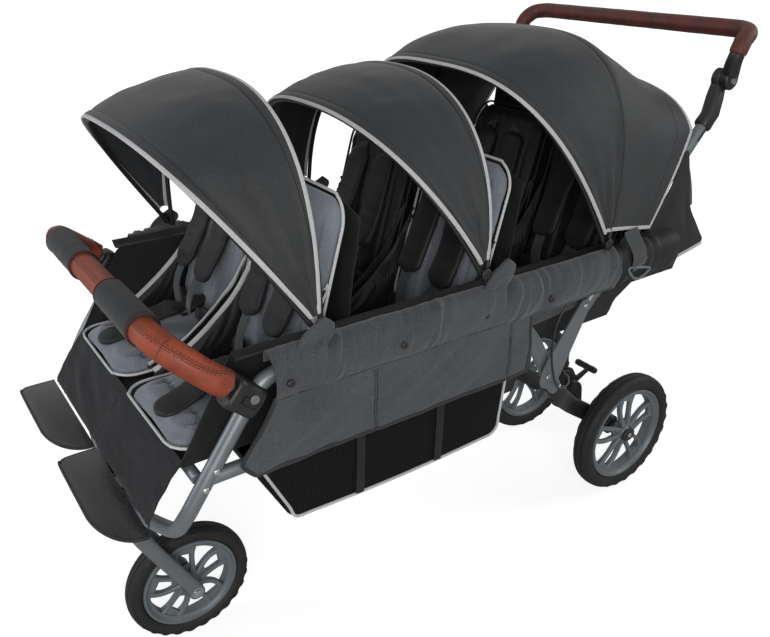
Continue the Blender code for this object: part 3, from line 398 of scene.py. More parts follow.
for side, sign in SIDES.items():
    fit(f"side_frame_tube_{side}", tube(front_tube_path(sign), TUBE_RADIUS, edge=0.002), GREY_COAT, "frame",
        [f"side_frame_{side}"])
    lower = [place(sign * RAIL_X, s, 0.553) for s in (-0.0405, 0.15, 0.35, 0.560)]
    fit(f"lower_rail_tube_{side}", tube(lower, 0.011, edge=0.002), GREY_COAT, "frame",
        [f"lower_rail_{side}"])

head = turned(
    [(-0.0365, 0.0185), (-0.0365, 0.0215), (-0.0355, 0.0225), (-0.029, 0.0225), (-0.0275, 0.0210), (0.0275, 0.0210),
     (0.029, 0.0225), (0.0355, 0.0225), (0.0365, 0.0215), (0.0365, 0.0185)], HEAD_CENTRE, 48, (0, 0, 1))
fit("steering_head", head, GREY_COAT, "frame", ["head_tube"])
for label, station, height, reach in (
    ("front", -0.047, 0.5467, 0.2735), ("middle", 0.320, 0.5467, 0.2767), ("rear", 0.905, RAIL_HEIGHT, 0.2757)
):
    bar = tube(bar_across(reach, station, height), 0.009, side=(0, 0, 1), edge=0.001)
    fit(f"{label}_cross_bar", bar, GREY_COAT, "frame", [f"{label}_cross_tube"])

BLACK_NYLON = moulded("moulded_black_nylon", "#141415", "#1d1d1f", 0.46, grain=0.0010, depth=0.00008, specular=0.4)
head_cap = turned([(0.0372, 0.0), (0.0372, 0.017), (0.039, 0.0205), (0.0415, 0.0195), (0.0430, 0.0120), (0.0432, 0.0)],
                  HEAD_CENTRE, 40, (0, 0, 1))
fit("steering_head_cap", head_cap, BLACK_NYLON, "frame")


# Repeated small pieces, such as screws, rivets, snaps, stitches and tyre lugs: a node tree sets
# one small mesh at each spot, facing outwards and turned along the surface.
def stamped(name, bm):
    """The small mesh that is repeated, out of sight."""
    bmesh.ops.recalc_face_normals(bm, faces=bm.faces)
    mesh = bpy.data.meshes.new(name)
    bm.to_mesh(mesh)
    bm.free()
    mesh.shade_smooth()
    mesh.set_sharp_from_angle(angle=math.radians(40))
    stamp = link_object(name, mesh)
    stamp.hide_render = True
    return stamp


def baked(obj):
    """The object's mesh with its modifiers applied. They are cleared from the object."""
    graph = bpy.context.evaluated_depsgraph_get()
    mesh = bpy.data.meshes.new_from_object(obj.evaluated_get(graph))
    obj.modifiers.clear()
    return mesh


def repeat(name, stamp, spots, mat, body, size=1.0):
    """Copies of a stamp at spots of (point, outward, along), made one plain mesh on a body."""
    mesh = bpy.data.meshes.new(name + "_spots")
    mesh.from_pydata([s[0] for s in spots], [], [])
    for label, column in (("outward", 1), ("along", 2)):
        attribute = mesh.attributes.new(label, "FLOAT_VECTOR", "POINT")
        attribute.data.foreach_set("vector", [c for s in spots for c in s[column]])
    carrier = link_object(name + "_spots", mesh)
    tree = bpy.data.node_groups.new(name + "_layout", "GeometryNodeTree")
    tree.interface.new_socket("Geometry", in_out="INPUT", socket_type="NodeSocketGeometry")
    scale = tree.interface.new_socket("Size", in_out="INPUT", socket_type="NodeSocketFloat")
    tree.interface.new_socket("Geometry", in_out="OUTPUT", socket_type="NodeSocketGeometry")
    given = add(tree, "NodeGroupInput")
    outward, along = (add(tree, "GeometryNodeInputNamedAttribute", {"Name": label}, data_type="FLOAT_VECTOR")
                      for label in ("outward", "along"))
    facing = add(tree, "FunctionNodeAlignRotationToVector", {"Vector": (outward, "Attribute")}, axis="Z")
    turned_to = add(tree, "FunctionNodeAlignRotationToVector",
                    {"Rotation": (facing, "Rotation"), "Vector": (along, "Attribute")}, axis="X", pivot_axis="Z")
    shape = add(tree, "GeometryNodeObjectInfo", {"Object": stamp})
    copies = add(tree, "GeometryNodeInstanceOnPoints",
                 {"Points": (given, "Geometry"), "Instance": (shape, "Geometry"),
                  "Rotation": (turned_to, "Rotation"), "Scale": (given, "Size")})
    real = add(tree, "GeometryNodeRealizeInstances", {"Geometry": (copies, "Instances")})
    painted = add(tree, "GeometryNodeSetMaterial", {"Geometry": (real, "Geometry"), "Material": mat})
    add(tree, "NodeGroupOutput", {"Geometry": (painted, "Geometry")})
    modifier = carrier.modifiers.new("layout", "NODES")
    modifier.node_group = tree
    modifier[scale.identifier] = size
    plain = baked(carrier)
    bpy.data.objects.remove(carrier)
    plain.name = name
    if not plain.materials:
        plain.materials.append(mat)
    obj = link_object(name, plain)
    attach(obj, body)
    return obj


def dome(radius, height, rim=0.25, sides=20, rings=5):
    """A low domed head on a short straight rim, face up."""
    levels = [(radius, -0.0012), (radius, height * rim)]
    for k in range(1, rings):
        bend = math.pi / 2 * k / rings
        levels.append((radius * math.cos(bend), height * (rim + (1 - rim) * math.sin(bend))))
    angles = [2 * math.pi * i / sides for i in range(sides)]
    return loft([[Vector((r * math.cos(a), r * math.sin(a), z)) for a in angles] for r, z in levels])


STEEL = moulded("bright_zinc_steel", "#a9abad", "#c2c3c4", 0.28, metallic=1.0, grain=0.0006, depth=0.00003)
rivet_stamp = stamped("rivet_stamp", dome(0.0048, 0.0024))
screw_stamp = stamped("screw_stamp", dome(0.0034, 0.0018))

frame_rivets = []
for sign in (1, -1):
    for s, z in ((-0.0275, 0.5663), (-0.0455, 0.5425)):
        frame_rivets.append((place(sign * (RAIL_X + 0.0112), s, z), (sign, 0, 0), (0, 0, 1)))
repeat("frame_rivets", rivet_stamp, frame_rivets, STEEL, "frame")


# Wheels: a black foam tyre, moulded with crescent lugs on both shoulders, on a grey nylon rim
# with five pairs of curved spokes. The rear wheels push onto the axle behind an oval cap.
FOAM_TYRE = moulded("black_foam_tyre", "#131314", "#1e1e1f", 0.66, grain=0.0016, depth=0.00016, patch=0.03,
                    specular=0.35)
GREY_NYLON = moulded("moulded_grey_nylon", "#4f575d", "#5f676d", 0.42, grain=0.0012, depth=0.00008)
LUGS = 26


def wheel(prefix, centre, radius, width, rim, sign, body, nodes):
    """A wheel about its axle: tyre, lugs on both flanks, and a rim with curved spokes."""
    half, wall = width / 2, radius - rim
    outer = [
        (0.66 * half, rim), (0.80 * half, rim + 0.10 * wall), (0.93 * half, rim + 0.26 * wall),
        (0.99 * half, rim + 0.44 * wall), (0.985 * half, rim + 0.60 * wall), (0.92 * half, rim + 0.76 * wall),
        (0.80 * half, radius - 0.0046), (0.66 * half, radius - 0.0024), (0.50 * half, radius - 0.0012),
        (0.38 * half, radius - 0.0008), (0.36 * half, radius - 0.0024), (0.27 * half, radius - 0.0024),
        (0.25 * half, radius - 0.0004), (0.10 * half, radius),
    ]
    profile = outer + [(-x, r) for x, r in reversed(outer)]
    fit(f"{prefix}_foam_tyre", turned(profile, centre, 112), FOAM_TYRE, body, nodes[:1], sharp=50)

    arc = [Vector((0.0115 * math.sin(a), 0.0040 * (1 - math.cos(a)) * 2.2 - 0.003, 0)) for a in
           (-1.05, -0.7, -0.35, 0, 0.35, 0.7, 1.05)]
    taper = [0.0006, 0.0013, 0.0017, 0.0019, 0.0017, 0.0013, 0.0006]
    lug = stamped(prefix + "_lug_stamp", tube(arc, taper, 0.0007, sides=6, side=(0, 1, 0)))
    spots = []
    for flank in (1, -1):
        for i in range(LUGS):
            a = 2 * math.pi * (i + (0.5 if flank < 0 else 0)) / LUGS
            radial = Vector((0, math.cos(a), math.sin(a)))
            turn = Vector((0, -math.sin(a), math.cos(a)))
            point = centre + radial * (rim + 0.70 * wall) + Vector((flank * 0.950 * half, 0, 0))
            outward = Vector((flank * 0.93, 0, 0)) + radial * 0.42
            spots.append((point, outward, turn))
    repeat(f"{prefix}_tyre_lugs", lug, spots, FOAM_TYRE, body)
    bpy.data.objects.remove(lug)

    lip = [(0.70 * half, rim), (0.83 * half, rim - 0.0006), (0.88 * half, rim - 0.0030), (0.86 * half, rim - 0.0052),
           (0.76 * half, rim - 0.0066), (0.62 * half, rim - 0.0085), (0.54 * half, rim - 0.0120),
           (0.50 * half, rim - 0.0150)]
    bm = turned(lip + [(-x, r) for x, r in reversed(lip)], centre, 96)
    hub = [(half, 0.0064), (half, 0.0125), (half * 0.94, 0.0140), (half * 0.72, 0.0160), (half * 0.60, 0.0205),
           (half * 0.46, 0.0235), (-half * 0.46, 0.0235), (-half * 0.60, 0.0205), (-half * 0.94, 0.0140),
           (-half, 0.0125), (-half, 0.0064)]
    turned(hub, centre, 48, bm=bm)
    reach = rim - 0.0150
    for i in range(5):
        middle = 2 * math.pi * (i + 0.25) / 5
        sideways = (0, -math.sin(middle), math.cos(middle))
        for lean in (-1, 1):
            path = []
            for k in range(9):
                t = k / 8
                r = 0.019 + (reach + 0.003 - 0.019) * t
                spread = 0.0070 + 0.0105 * math.sin(math.pi * min(1.0, t * 1.25) * 0.5) + 0.004 * max(0, t - 0.75)
                angle = middle + lean * spread / r + 0.10 * math.sin(math.pi * t)
                dish = sign * half * (0.34 - 0.24 * t)
                path.append(centre + Vector((dish, r * math.cos(angle), r * math.sin(angle))))
            widths = [0.0062 - 0.0016 * math.sin(math.pi * k / 8) for k in range(9)]
            tube(path, widths, 0.0062 * 1.35, sides=12, side=sideways, flat=0.55, bm=bm)
        for r_low, r_high, reach_out in ((0.019, 0.034, 0.0090), (reach - 0.012, reach + 0.002, 0.0170)):
            web = []
            for r in (r_low, (r_low + r_high) / 2, r_high):
                swing = middle + 0.10 * math.sin(math.pi * (r - 0.019) / (reach - 0.016))
                web.append(centre + Vector((sign * half * 0.2, r * math.cos(swing), r * math.sin(swing))))
            tube(web, reach_out, 0.0046, sides=12, side=sideways, flat=0.4, bm=bm)
    fit(f"{prefix}_spoked_rim", bm, GREY_NYLON, body, nodes[1:], sharp=42)


REAR_AXLE = (1.045, 0.150)
AXLES = {"front": place(0, 0, 0.120), "rear_left": place(0.164, *REAR_AXLE), "rear_right": place(-0.164, *REAR_AXLE)}
wheel("front", AXLES["front"], 0.120, 0.040, 0.093, 1, "front_wheel", ["front_tyre", "front_rim"])
for side, sign in SIDES.items():
    centre = AXLES[f"rear_{side}"]
    body = f"rear_wheel_{side}"
    wheel(f"rear_{side}", centre, 0.150, 0.045, 0.117, sign, body, [f"rear_{side}_tyre", f"rear_{side}_rim"])
    profile = [(0.0, 0.0), (0.0, 0.0200), (0.0040, 0.0205), (0.0062, 0.0180), (0.0074, 0.0120), (0.0079, 0.0)]
    cap = turned([(sign * (0.0195 + x), r) for x, r in profile], centre, 40)
    bmesh.ops.scale(cap, vec=(1, 1.0, 0.82), space=Matrix.Translation(-centre), verts=cap.verts)
    fit(f"rear_{side}_hub_cap", cap, BLACK_NYLON, body)
spacers = bmesh.new()
for sign in (1, -1):
    turned(flipped([(0.0203, 0.0064), (0.0203, 0.0110), (0.0275, 0.0095), (0.0275, 0.0064)], sign),
           AXLES["front"], 32, bm=spacers)
fit("front_hub_spacers", spacers, BLACK_NYLON, "front_wheel")


# Front fork: two flattened aluminium legs that lean forwards to a crown, coated like the frame,
# with a steel axle bolt that passes through a flat eye at the foot of each leg.
def mirrored(points):
    """A path from the left to the middle, carried on to its mirror image."""
    return points + [Vector((-p.x, p.y, p.z)) for p in reversed(points)]


arch = smooth_path(mirrored(placed([(0.038, 0.004, 0.114), (0.038, -0.030, 0.180), (0.038, -0.066, 0.250),
                                    (0.0353, -0.088, 0.296), (0.0228, -0.094, 0.325)])), 8)
fork = tube(arch, 0.009, 0.014, sides=28, flat=0.8, edge=0.003)
tube([place(0, -0.100, 0.322 + 0.0045 * k) for k in range(6)], [0.0175, 0.019, 0.019, 0.019, 0.019, 0.0175], sides=36,
     bm=fork)
for sign in (1, -1):
    rod(place(sign * 0.038, 0, 0.120), 0.0155, 0.0176, edge=0.0015, bm=fork)
fit("fork_legs", fork, GREY_COAT, "fork", ["front_fork"])
bolt = rod(place(0, 0, 0.120), 0.0058, 0.100)
for sign in (1, -1):
    turned(flipped([(0.0470, 0.0), (0.0470, 0.0108), (0.0482, 0.0110), (0.0486, 0.0086), (0.0512, 0.0080),
                    (0.0520, 0.0060), (0.0522, 0.0)], sign), AXLES["front"], 30, bm=bolt)
fit("front_axle_bolt", bolt, STEEL, "fork", ["front_axle"])


# Rear legs: flattened tubes from a pivot on each rail, which run down into black moulded
# brackets that carry the axle. Screws clamp the tubes, and a tie bar joins the brackets.
LEG_X, EYE_X = 0.262, 0.125
rear_rivets, bracket_screws = [], []
for side, sign in SIDES.items():
    path = smooth_path(placed([(LEG_X, 0.518, 0.697), (LEG_X, 0.567, 0.620), (0.259, 0.616, 0.557),
                               (0.2585, 0.662, 0.475), (0.2585, 0.694, 0.424)], sign), 8)
    leg = tube(path, 0.009, 0.015, sides=28, flat=0.72, edge=0.002)
    rod(place(sign * 0.269, 0.524, 0.688), 0.008, 0.0145, bm=leg)
    fit(f"rear_leg_tube_{side}", leg, GREY_COAT, "rear_legs", [f"rear_leg_{side}"])
    heading = (path[-1] - path[-2]).normalized()
    start = path[-1] + heading * 0.0003
    route = [start] + smooth_path([start + heading * 0.012] + placed([
        (0.185, 0.800, 0.335), (0.132, 0.890, 0.262), (EYE_X, 0.965, 0.208), (EYE_X, *REAR_AXLE)], sign), 8)
    bracket = tube(route, 0.010, 0.0205, sides=24, flat=0.6, edge=0.002)
    turned([(-0.011, 0.0064), (-0.011, 0.021), (-0.008, 0.024), (0.008, 0.024), (0.011, 0.021), (0.011, 0.0064)],
           place(sign * EYE_X, *REAR_AXLE), 40, bm=bracket)
    if sign > 0:
        lug = rounded_outline([(0.872, 0.268), (0.935, 0.222), (0.926, 0.298), (0.914, 0.314), (0.896, 0.314),
                               (0.886, 0.300)], 0.008)
        slab(lug, 0.1145, 0.1265, bm=bracket)
    fit(f"moulded_bracket_{side}", bracket, BLACK_NYLON, "rear_legs", [f"axle_bracket_{side}"])
    socket_path = [start - heading * 0.018, start - heading * 0.006, start + heading * 0.004]
    rings = [section(f, 0.0118 * k, 0.0185 * k, 28, 0.7) for f, k in
             zip(path_frames(socket_path), (0.90, 1.0, 1.0))]
    fit(f"leg_socket_{side}", loft(rings), BLACK_NYLON, "rear_legs")
    rear_rivets.append((place(sign * (LEG_X + 0.0073), 0.593, 0.584), (sign, 0, 0), (0, 0, 1)))
    for x, s, z in ((0.2700, 0.686, 0.449), (0.2640, 0.7065, 0.436), (0.2220, 0.757, 0.392), (0.1500, 0.876, 0.290)):
        bracket_screws.append((place(sign * x, s, z), (sign * 0.85, 0.2, 0.45), (0, 1, 0)))
repeat("rear_leg_rivets", rivet_stamp, rear_rivets, STEEL, "rear_legs")
repeat("bracket_screws", screw_stamp, bracket_screws, STEEL, "rear_legs")
fit("bracket_tie_bar", tube(bar_across(0.1145, 0.962, 0.212), 0.009, side=(0, 0, 1)), BLACK_NYLON, "rear_legs",
    ["rear_cross_bar"])
fit("steel_axle", tube(bar_across(0.192, *REAR_AXLE), 0.006, side=(0, 0, 1), edge=0.001), STEEL, "rear_legs",
    ["rear_axle"])


# Foot brake: a pressed black lever that rocks on a pin in the left bracket, with a bar to step
# on, worked by hand too through a sheathed cable that runs down from the rail.
lever = slab(rounded_outline([(0.893, 0.288), (0.935, 0.290), (0.980, 0.312), (0.985, 0.322), (0.935, 0.306),
                              (0.917, 0.336), (0.901, 0.342), (0.895, 0.330)], 0.006), 0.095, 0.101)
rod(place(0.1105, 0.905, 0.300), 0.006, 0.030, bm=lever)
tube([place(0.058 + 0.010 * k, 0.979, 0.315) for k in range(7)], [0.007, 0.008, 0.0074, 0.008, 0.0074, 0.008, 0.007],
     sides=20, side=(0, 0, 1), edge=0.002, bm=lever)
fit("brake_pedal_lever", lever, BLACK_NYLON, "brake", ["brake_lever"], soften=0.0006)
CABLE_SHEATH = moulded("black_vinyl_sheath", "#111112", "#19191a", 0.40, grain=0.002, depth=0.00003)
cable_points = [(0.2880, 0.700, 0.666), (0.2880, 0.664, 0.640), (0.2860, 0.640, 0.600), (0.2850, 0.636, 0.545),
                (0.2850, 0.648, 0.490), (0.2840, 0.668, 0.456), (0.2700, 0.708, 0.446), (0.2320, 0.752, 0.428),
                (0.1800, 0.806, 0.392), (0.1180, 0.868, 0.350), (0.1040, 0.887, 0.339), (0.1034, 0.903, 0.334)]
cable_path = smooth_path([place(*p) for p in cable_points], 8)
cable = fit("brake_cable_sheath", tube(cable_path, 0.0020, sides=12), CABLE_SHEATH, "rear_legs",
            ["brake_cable"])


# Push handle: grey tubes fold on the rails and are latched to the rear legs by flat plates. At
# the top two black joints let the padded bar tilt, each with a round release button.
HANDLE_X = 0.262
JOINT = (1.058, 0.990)
plate_rivets = []
low, pivot, high = (0.735, 0.600), (0.8144, 0.688), (1.030, 0.9283)
for side, sign in SIDES.items():
    route = [place(sign * HANDLE_X, low[0] + (high[0] - low[0]) * k / 8, low[1] + (high[1] - low[1]) * k / 8)
             for k in range(9)]
    arm = tube(route, 0.0115, sides=28, edge=0.0015)
    rod(place(sign * 0.269, *pivot), 0.008, 0.0145, bm=arm)
    plate = rounded_outline([(0.662, 0.462), (0.640, 0.459), (0.625, 0.470), (0.624, 0.492), (0.633, 0.512),
                             (0.716, 0.624), (0.728, 0.627), (0.737, 0.619), (0.737, 0.604), (0.676, 0.478)], 0.009)
    slab(plate, sign * 0.2718, sign * 0.2753, bm=arm)
    fit(f"handle_arm_{side}", arm, GREY_COAT, "handle", [f"handle_tube_{side}"], soften=0.0004)
    for s, z in ((0.7265, 0.611), (0.6440, 0.484)):
        plate_rivets.append((place(sign * 0.2753, s, z), (sign, 0, 0), (0, 0, 1)))
    slot_path = [place(sign * (HANDLE_X + 0.0114), 0.990 + 0.0045 * k, 0.8837 + 0.0050 * k) for k in range(7)]
    fit(f"handle_slot_{side}", tube(slot_path, 0.0006, 0.0028, sides=12, edge=0.0004), BLACK_NYLON, "handle")
    joint = place(sign * (HANDLE_X - 0.010), *JOINT)
    housing = turned([(-0.0085, 0.0), (-0.0085, 0.0165), (-0.0065, 0.0190), (0.0065, 0.0190), (0.0085, 0.0175),
                      (0.0085, 0.0)], joint, 44)
    top = place(sign * HANDLE_X, *high)
    along = (top - place(sign * HANDLE_X, *pivot)).normalized()
    neck_end = place(sign * (HANDLE_X - 0.010), JOINT[0] - 0.002, JOINT[1] - 0.008)
    start = top + along * 0.0003
    neck = [start - along * 0.030, start - along * 0.026, start - along * 0.012, start,
            start.lerp(neck_end, 0.55), neck_end]
    tube(neck, [0.0138, 0.0155, 0.0148, 0.0155, 0.0150, 0.0125], 0.0145, sides=28, flat=0.8, bm=housing)
    fit(f"handle_hinge_{side}", housing, BLACK_NYLON, "handle", [f"handle_joint_{side}"])
repeat("plate_rivets", rivet_stamp, plate_rivets, STEEL, "handle")

bar_points = placed([(0.2727, 1.056, 0.999), (0.2777, 1.051, 1.020), (0.284, 1.049, 1.040), (0.283, 1.061, 1.059),
                     (0.278, 1.081, 1.071), (0.259, 1.094, 1.075), (0.231, 1.096, 1.076), (0.120, 1.096, 1.076)])
bar_path = smooth_path(mirrored(bar_points), 10)
bar = tube(bar_path, 0.0115, sides=28)
fit("handle_cross_tube", bar, GREY_COAT, "handle_top", ["handlebar"])
for side, sign in SIDES.items():
    centre = place(sign * 0.270, *JOINT)
    ring = turned(flipped([(-0.0088, 0.0), (-0.0088, 0.0175), (-0.0068, 0.0190), (0.0062, 0.0190), (0.0086, 0.0165),
                           (0.0090, 0.0120), (0.0090, 0.0083), (0.0050, 0.0083), (0.0050, 0.0)], sign), centre, 44)
    neck = [Vector((sign * p.x, p.y, p.z)) for p in even_path(bar_points[:4], 9)]
    tube(neck, [0.0150, 0.0152, 0.0150, 0.0146, 0.0142, 0.0140, 0.0138, 0.0136, 0.0128], sides=28, bm=ring)
    fit(f"handle_tilt_disc_{side}", ring, BLACK_NYLON, "handle_top")
    button = turned(flipped([(-0.0035, 0.0), (-0.0035, 0.0078), (0.0028, 0.0078), (0.0040, 0.0064), (0.0030, 0.0040),
                             (0.0028, 0.0)], sign), place(sign * 0.279, *JOINT), 32)
    fit(f"handle_release_button_{side}", button, GREY_NYLON, f"handle_push_{side}",
        [f"handle_button_{side}"])


# Grips: brown leatherette wrapped round foam, closed by a seam with two rows of stitches. The
# bumper bar also has two dark padded sleeves, where the children of each seat hold on.
def leather(name, code, worn, grain=0.0016):
    """Pebbled leatherette: rounded grains with fine valleys, which are painted darker as painted shade."""
    mat, tree, shader, spot = coated(name, code, 0.46, 0.0, 0.42)
    where = (spot, "Object")
    cells = add(tree, "ShaderNodeTexVoronoi", {"Vector": where, "Scale": 1 / grain}, feature="DISTANCE_TO_EDGE")
    pores = remap(tree, (cells, "Distance"), high=0.12)
    clouds = add(tree, "ShaderNodeTexNoise", {"Vector": where, "Scale": 26.0, "Detail": 5.0, "Roughness": 0.65})
    spread = remap(tree, (clouds, "Fac"), 0.34, 0.68)
    shade = tint(tree, shader, (spread, "Result"), code, worn)
    # Painted shade: the colour is multiplied darker in the grain's valleys.
    valley_painted_shade = remap(tree, (pores, "Result"), to_low=0.72)
    tinted = add(tree, "ShaderNodeMix", {0: 1.0, 6: (shade, "Result"), 7: (valley_painted_shade, "Result")}, data_type="RGBA",
                 blend_type="MULTIPLY")
    tree.links.new(tinted.outputs[2], shader.inputs["Base Color"])
    rough = remap(tree, (spread, "Result"), to_low=0.40, to_high=0.54)
    tree.links.new(rough.outputs["Result"], shader.inputs["Roughness"])
    relief(tree, shader, 0.55, 0.0003, (pores, "Result"))
    return mat


def woven(name, code, light, roughness=0.86, thread=0.0016, depth=0.00022, sheen=0.25, specular=0.25, slope=1.0,
          patch=0.09):
    """Polyester cloth: diagonal twill lines, drawn coarser than the real 0.4 mm so that they
    show, over heathered yarn and faint larger patches, with a soft sheen."""
    mat, tree, shader, spot = coated(name, code, roughness, 0.0, specular)
    shader.inputs["Sheen Weight"].default_value = sheen
    shader.inputs["Sheen Roughness"].default_value = 0.45
    turn = add(tree, "ShaderNodeMapping", {"Vector": (spot, "Object"), "Scale": (1.0, 1.0, slope)})
    lines = add(tree, "ShaderNodeTexWave", {"Vector": (turn, "Vector"), "Scale": 0.314 / thread, "Distortion": 1.6,
                "Detail": 1.0, "Detail Scale": 3.0}, bands_direction="DIAGONAL")
    yarn = add(tree, "ShaderNodeTexNoise", {"Vector": (turn, "Vector"), "Scale": 0.55 / thread, "Detail": 3.0,
               "Roughness": 0.7})
    clouds = add(tree, "ShaderNodeTexNoise", {"Vector": (spot, "Object"), "Scale": 1 / patch, "Detail": 3.0})
    mixed = calc(tree, "MULTIPLY_ADD", (lines, "Fac"), 0.35, (yarn, "Fac"))
    both = calc(tree, "MULTIPLY_ADD", (clouds, "Fac"), 0.5, (mixed, "Value"))
    share = remap(tree, (both, "Value"), 0.55, 1.30)
    tint(tree, shader, (share, "Result"), code, light)
    relief(tree, shader, 0.5, depth, (mixed, "Value"))
    return mat


TAN_LEATHER = leather("tan_brown_leatherette", "#772f17", "#954225")
DARK_LEATHER = leather("dark_brown_leatherette", "#3b120b", "#592318")
SLEEVE_CLOTH = woven("dark_grey_canvas", "#1c1e20", "#313438", thread=0.0018, sheen=0.1)
THREAD = woven("dark_brown_thread", "#33120b", "#4a1d12", thread=0.0008)
stitch_stamp = stamped("stitch_stamp", tube([Vector((x, 0, z)) for x, z in
                       ((-0.0021, -0.0004), (-0.0014, 0.0003), (0, 0.0005), (0.0014, 0.0003), (0.0021, -0.0004))],
                       [0.0003, 0.0005, 0.0005, 0.0005, 0.0003], sides=6, side=(0, 1, 0)))


def outward_at(frame_at, direction):
    """The direction square to a path that is nearest to the one given."""
    _, across, upright = frame_at
    direction = Vector(direction)
    return (across * across.dot(direction) + upright * upright.dot(direction)).normalized()


def seam_spots(path, radius, direction, gap, spacing=0.0052):
    """Spots for a row of stitches along a tube's surface, a little to one side of a seam."""
    fine = even_path(path, int(path_lengths(path)[-1] / spacing) + 1)
    spots = []
    for i, frame_at in enumerate(path_frames(fine)):
        if not 1 <= i < len(fine) - 2:
            continue
        outward = outward_at(frame_at, direction)
        tangent = (fine[i + 1] - fine[i - 1]).normalized()
        sideways = outward.cross(tangent)
        aimed = (outward + sideways * gap / radius).normalized()
        spots.append((frame_at[0] + aimed * radius, aimed, tangent))
    return spots


def part_of_path(path, start, end):
    """The stretch of a path between two distances along it."""
    lengths = path_lengths(path)
    stretch = []
    for k, (a, b) in enumerate(zip(path, path[1:])):
        for distance in (start, end):
            if lengths[k] <= distance < lengths[k + 1]:
                stretch.append((distance, a.lerp(b, (distance - lengths[k]) / (lengths[k + 1] - lengths[k]))))
        if start < lengths[k + 1] < end:
            stretch.append((lengths[k + 1], b))
    return [point for _, point in sorted(stretch, key=lambda item: item[0])]


def sleeve_on(path, radius, inner, wave=0.0, roll=0.003, sides=32, side=(1, 0, 0)):
    """A padded sleeve round a bar, open at both ends, with rolled edges."""
    total = path_lengths(path)[-1]
    frames = path_frames(path, side)
    outside = []
    for frame_at, distance in zip(frames, path_lengths(path)):
        edge = min(distance, total - distance)
        lift = math.sqrt(max(0.0, 1 - max(0.0, 1 - edge / roll) ** 2)) if edge < roll else 1.0
        swell = wave * (noise.noise(frame_at[0] * 38) + 0.5 * noise.noise(frame_at[0] * 90))
        r = inner + (radius - inner) * max(0.25, lift) + swell
        outside.append(section(frame_at, r, r, sides))
    inside = [section(frame_at, inner, inner, sides) for frame_at in reversed(frames)]
    return loft(outside + inside, closed=True)


GRIP_RADIUS = 0.0205
SOCKET_SLOPE = math.radians(40)
SOCKET_ALONG = Vector((0, -math.cos(SOCKET_SLOPE), math.sin(SOCKET_SLOPE)))
SOCKET_UP = Vector((0, math.sin(SOCKET_SLOPE), math.cos(SOCKET_SLOPE)))


def socket_point(sign, distance):
    """A point on a bumper socket's axis, some way out of the clamp."""
    return place(sign * RAIL_X, 0.026 - distance * math.cos(SOCKET_SLOPE), 0.673 + distance * math.sin(SOCKET_SLOPE))


bumper_points = [socket_point(1, distance) for distance in (0.006, 0.030, 0.055)] + placed([
    (0.276, -0.040, 0.730), (0.252, -0.064, 0.752), (0.213, -0.073, 0.760), (0.100, -0.073, 0.762)])
bumper_path = smooth_path(mirrored(bumper_points), 12)
bumper_length = path_lengths(bumper_path)[-1]
fit("bumper_tube", tube(bumper_path, 0.010, sides=24), GREY_COAT, "bumper", ["bumper_bar"])
wrapped = even_path(part_of_path(bumper_path, 0.022, bumper_length - 0.022), 150)
grip = fit("bumper_leather", sleeve_on(wrapped, GRIP_RADIUS, 0.0101, 0.0004), TAN_LEATHER, "bumper",
           ["bumper_grip"])
SEAM_SIDE = (0.12, -0.58, 0.82)
stitches = [spot for gap in (0.0032, -0.0032) for spot in seam_spots(wrapped, 0.0206, SEAM_SIDE, gap)]
repeat("bumper_stitches", stitch_stamp, stitches, THREAD, "bumper")
seam_line = [f[0] + outward_at(f, SEAM_SIDE) * GRIP_RADIUS for f in path_frames(wrapped[2:-2])]
fit("bumper_seam", tube(seam_line, 0.0006, sides=6), THREAD, "bumper")
rings = bmesh.new()
for distance in (0.118, 0.520):
    for sign in (1, -1):
        at = part_of_path(bumper_path, distance, distance + 0.012)
        if sign < 0:
            at = part_of_path(bumper_path, bumper_length - distance - 0.012, bumper_length - distance)
        frame_at = path_frames([at[0], at[-1]])[0]
        hoop = section(frame_at, 0.0206, 0.0206, 40)
        tube(hoop + hoop[:1], 0.0005, sides=6, side=(at[-1] - at[0]).normalized(), bm=rings)
fit("bumper_cross_seams", rings, THREAD, "bumper")
for side, sign in SIDES.items():
    sleeve_path = [place(sign * x, -0.073, 0.762) for x in (0.066 + 0.0047 * k for k in range(31))]
    sleeve_path = [Vector((p.x, p.y, p.z - 0.0020 * max(0, (abs(p.x) - 0.19) / 0.023) ** 2)) for p in sleeve_path]
    sleeve = fit(f"bumper_sleeve_{side}", sleeve_on(sleeve_path, 0.0242, 0.0200, 0.0007, 0.004, side=(0, 0, 1)),
                 SLEEVE_CLOTH, "bumper")
    hems = bmesh.new()
    for end in (0, -1):
        hoop = section(path_frames([sleeve_path[end], sleeve_path[end] + Vector((0.01, 0, 0))], (0, 0, 1))[0],
                       0.0236, 0.0236, 36)
        tube(hoop + hoop[:1], 0.0013, sides=8, side=(1, 0, 0), bm=hems)
    fit(f"bumper_sleeve_hems_{side}", hems, THREAD, "bumper")

wrapped_bar = even_path(part_of_path(bar_path, 0.040, path_lengths(bar_path)[-1] - 0.040), 170)
grip = fit("handle_leather", sleeve_on(wrapped_bar, 0.0160, 0.0116, 0.0003, 0.0025), DARK_LEATHER, "handle_top",
           ["handle_grip"])
HANDLE_SEAM_SIDE = (0, -0.75, -0.65)
spots = [spot for gap in (0.0026, -0.0026)
         for spot in seam_spots(wrapped_bar, 0.0161, HANDLE_SEAM_SIDE, gap, 0.0048)]
repeat("handle_stitches", stitch_stamp, spots, THREAD, "handle_top", size=0.85)


